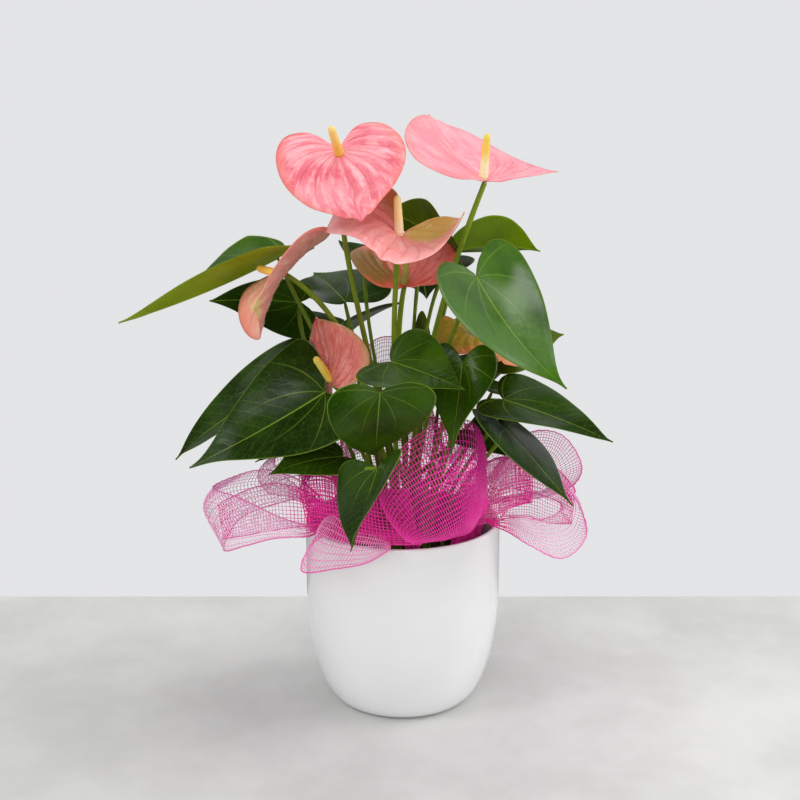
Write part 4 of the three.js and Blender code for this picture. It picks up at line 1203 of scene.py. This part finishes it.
# Deep and fresh green, and gloss
LEAF_LOOKS = {
    "fresh": ((0.019, 0.07, 0.001), (0.046, 0.135, 0.002), 0.2),
    "lush": ((0.016, 0.05, 0.001), (0.038, 0.1, 0.002), 0.1),
    "middle": ((0.009, 0.026, 0.001), (0.021, 0.056, 0.002), 0.07),
    "sheen": ((0.007, 0.023, 0.001), (0.017, 0.047, 0.003), 0.13),
    "dark": ((0.012, 0.032, 0.001), (0.021, 0.052, 0.002), 0.04),
    "olive": ((0.045, 0.074, 0.001), (0.07, 0.11, 0.002), 0.04),
    "bright": ((0.08, 0.14, 0.001), (0.115, 0.195, 0.002), 0.03),
    "folded": ((0.022, 0.066, 0.001), (0.044, 0.115, 0.003), 0.2),
}
# Lower faces that aren't a lighter shade of the upper ones. The folded leaf's lower face is paler as a
# real underside, and brighter still as painted light shining through it where it lies in shade.
LEAF_UNDERS = {"folded": ((0.24, 0.34, 0.01), (0.3, 0.42, 0.015))}
# Which look each leaf has, by its place in LEAVES
LEAF_TONES = ["fresh", "bright", "olive", "folded", "middle", "sheen", "middle", "sheen",
              "lush", "middle", "dark", "dark", "lush", "lush", "olive", "middle", "sheen",
              "olive", "dark", "middle", "middle", "middle", "middle", "middle"]

SALMON = (0.9, 0.22, 0.23)
PALE_PINK = (0.95, 0.45, 0.46)
CORAL = (0.86, 0.2, 0.13)
OLIVE = (0.27, 0.17, 0.025)
PALE_OLIVE = (0.5, 0.42, 0.12)
PEACH = (0.86, 0.34, 0.22)
# Upper and lower face of each spathe, in the order of FLOWERS. The pale streaks on them are painted
# highlights.
SPATHE_LOOKS = [
    (dict(main=(0.76, 0.12, 0.17), pale=(0.98, 0.44, 0.48), vein=(0.62, 0.07, 0.11), edge=CORAL,
          veined=0.3, painted_sheen=0.65, edged=0.5),
     dict(main=PEACH, pale=PALE_PINK, vein=CORAL, edge=CORAL)),
    (dict(main=(0.88, 0.26, 0.32), pale=(0.97, 0.46, 0.5), vein=(0.75, 0.14, 0.2), edge=CORAL,
          veined=0.35, painted_sheen=0.5, edged=0.3),
     dict(main=PEACH, pale=PALE_PINK, vein=SALMON, edge=PALE_OLIVE)),
    (dict(main=(0.93, 0.3, 0.3), pale=(1, 0.54, 0.51), vein=(0.7, 0.09, 0.09), edge=PALE_PINK,
          veined=0.4, painted_sheen=0.5, patches=[((0.6, 0.46, 0.1), (-0.28, 0.25), 0.26),
                                             ((0.5, 0.22, 0.06), (-0.3, -0.12), 0.16)]),
     dict(main=(0.56, 0.36, 0.11), pale=PEACH, vein=CORAL, edge=PALE_OLIVE)),
    (dict(main=(0.93, 0.34, 0.26), pale=(1, 0.6, 0.42), vein=SALMON, edge=CORAL, veined=0.3,
          patches=[((0.75, 0.6, 0.2), (0.95, 0), 0.12)]),
     dict(main=(0.93, 0.33, 0.27), pale=(1, 0.58, 0.45), vein=SALMON, edge=SALMON, veined=0.3,
          patches=[((0.75, 0.6, 0.2), (0.95, 0), 0.12)])),
    (dict(main=(0.66, 0.11, 0.09), pale=(0.95, 0.36, 0.31), vein=(0.32, 0.03, 0.03),
          edge=PALE_OLIVE, veined=0.6, painted_sheen=0.65, patches=[(OLIVE, (0.2, 0.5), 0.12)]),
     dict(main=(0.6, 0.17, 0.1), pale=PEACH, vein=(0.4, 0.06, 0.05), edge=PALE_OLIVE,
          veined=0.5)),
    (dict(main=(0.8, 0.1, 0.07), pale=(0.95, 0.26, 0.21), vein=(0.4, 0.05, 0.02), edge=CORAL,
          veined=0.5, patches=[(OLIVE, (0.2, 0.5), 0.34)]),
     dict(main=(0.8, 0.12, 0.07), pale=(0.95, 0.28, 0.2), vein=(0.42, 0.06, 0.02), edge=CORAL,
          veined=0.5, patches=[(OLIVE, (0.2, 0.5), 0.34)])),
    (dict(main=(0.74, 0.24, 0.06), pale=(0.92, 0.36, 0.16), vein=(0.2, 0.11, 0.01), edge=CORAL,
          veined=0.7, edged=0.8, patches=[((0.34, 0.25, 0.012), (0.1, -0.3), 0.36)]),
     dict(main=(0.85, 0.3, 0.09), pale=(0.95, 0.42, 0.2), vein=(0.45, 0.14, 0.03), edge=CORAL,
          veined=0.6)),
]
YELLOW = (0.9, 0.58, 0.09)
CREAM = (0.97, 0.82, 0.5)
# Low colour, high colour and where it changes, of each spadix
SPADIX_LOOKS = [
    (YELLOW, (0.93, 0.68, 0.2), 0.5), (CREAM, (0.9, 0.64, 0.1), 0.5),
    ((1, 0.88, 0.55), (1, 0.82, 0.36), 0.4), (YELLOW, (0.9, 0.5, 0.08), 0.5),
    (YELLOW, (0.92, 0.68, 0.12), 0.5), ((0.4, 0.4, 0.1), (0.6, 0.5, 0.12), 0.5),
    (YELLOW, CREAM, 0.5),
]
# Net colours. The deep ones are the strands' own, and the pale ones painted light for where the net
# hangs free.
DEEP_PINK = (0.98, 0.04, 0.43)
PAINTED_LIT_PINK = (0.93, 0.46, 0.7)
PAINTED_LIT_SELVAGE_PINK = (0.88, 0.18, 0.5)
SELVAGE_PINK = (0.9, 0.04, 0.36)

COLLAR_ANGLES = [math.radians(a) for a in range(10, 171, 20)]


def arc(radius, height):
    return [[radius * math.cos(a), radius * math.sin(a), height] for a in COLLAR_ANGLES]


# Layers of net that lie inside the loops and behind them, to be added to those of the CAD
# part: rows of points along each, one below the other
NET_FILLS = {
    "gather_left": [
        [[-70, -30, 176], [-56, -44, 184], [-38, -52, 180], [-18, -56, 174], [4, -60, 176]],
        [[-67, -38, 158], [-54, -52, 162], [-36, -60, 160], [-16, -64, 154], [8, -67, 154]],
        [[-62, -42, 140], [-50, -52, 140], [-34, -62, 140], [-14, -69, 140], [12, -69, 140]],
    ],
    "gather_right": [
        [[42, -42, 180], [56, -32, 186], [70, -24, 188], [88, -16, 184]],
        [[45, -43, 162], [58, -34, 166], [72, -26, 168], [90, -18, 168]],
        [[46, -44, 144], [58, -36, 146], [72, -28, 152], [90, -20, 154]],
    ],
    "fill_right": [
        [[66, -10, 176], [86, -2, 186], [106, -4, 178], [122, -16, 160]],
        [[70, -8, 138], [88, 2, 136], [106, -2, 132], [120, -16, 136]],
    ],
    "fill_left": [
        [[-66, -40, 168], [-90, -34, 172], [-112, -36, 166], [-128, -40, 158]],
        [[-64, -50, 146], [-86, -56, 146], [-106, -56, 142], [-124, -48, 136]],
    ],
    "collar": [arc(58, 196), arc(50, 160), arc(53, 119)],
}
# How much painted light the free part of a band gets, its strands' radius and its layers' distances out
BAND_LOOKS = {
    "mesh_puff_front": dict(painted_light=0.1, radius=0.38),
    "mesh_swag_front": dict(painted_light=0.5, radius=0.3),
    "gather_left": dict(painted_light=0.1, radius=0.36, layers=(0, -3)),
    "gather_right": dict(painted_light=0.4, radius=0.28, layers=(0, -3)),
    "collar": dict(painted_light=0.1),
}


make_camera()
make_floor()
make_light()
make_pot()
make_grower()
make_soil()
make_plant()
make_nets()
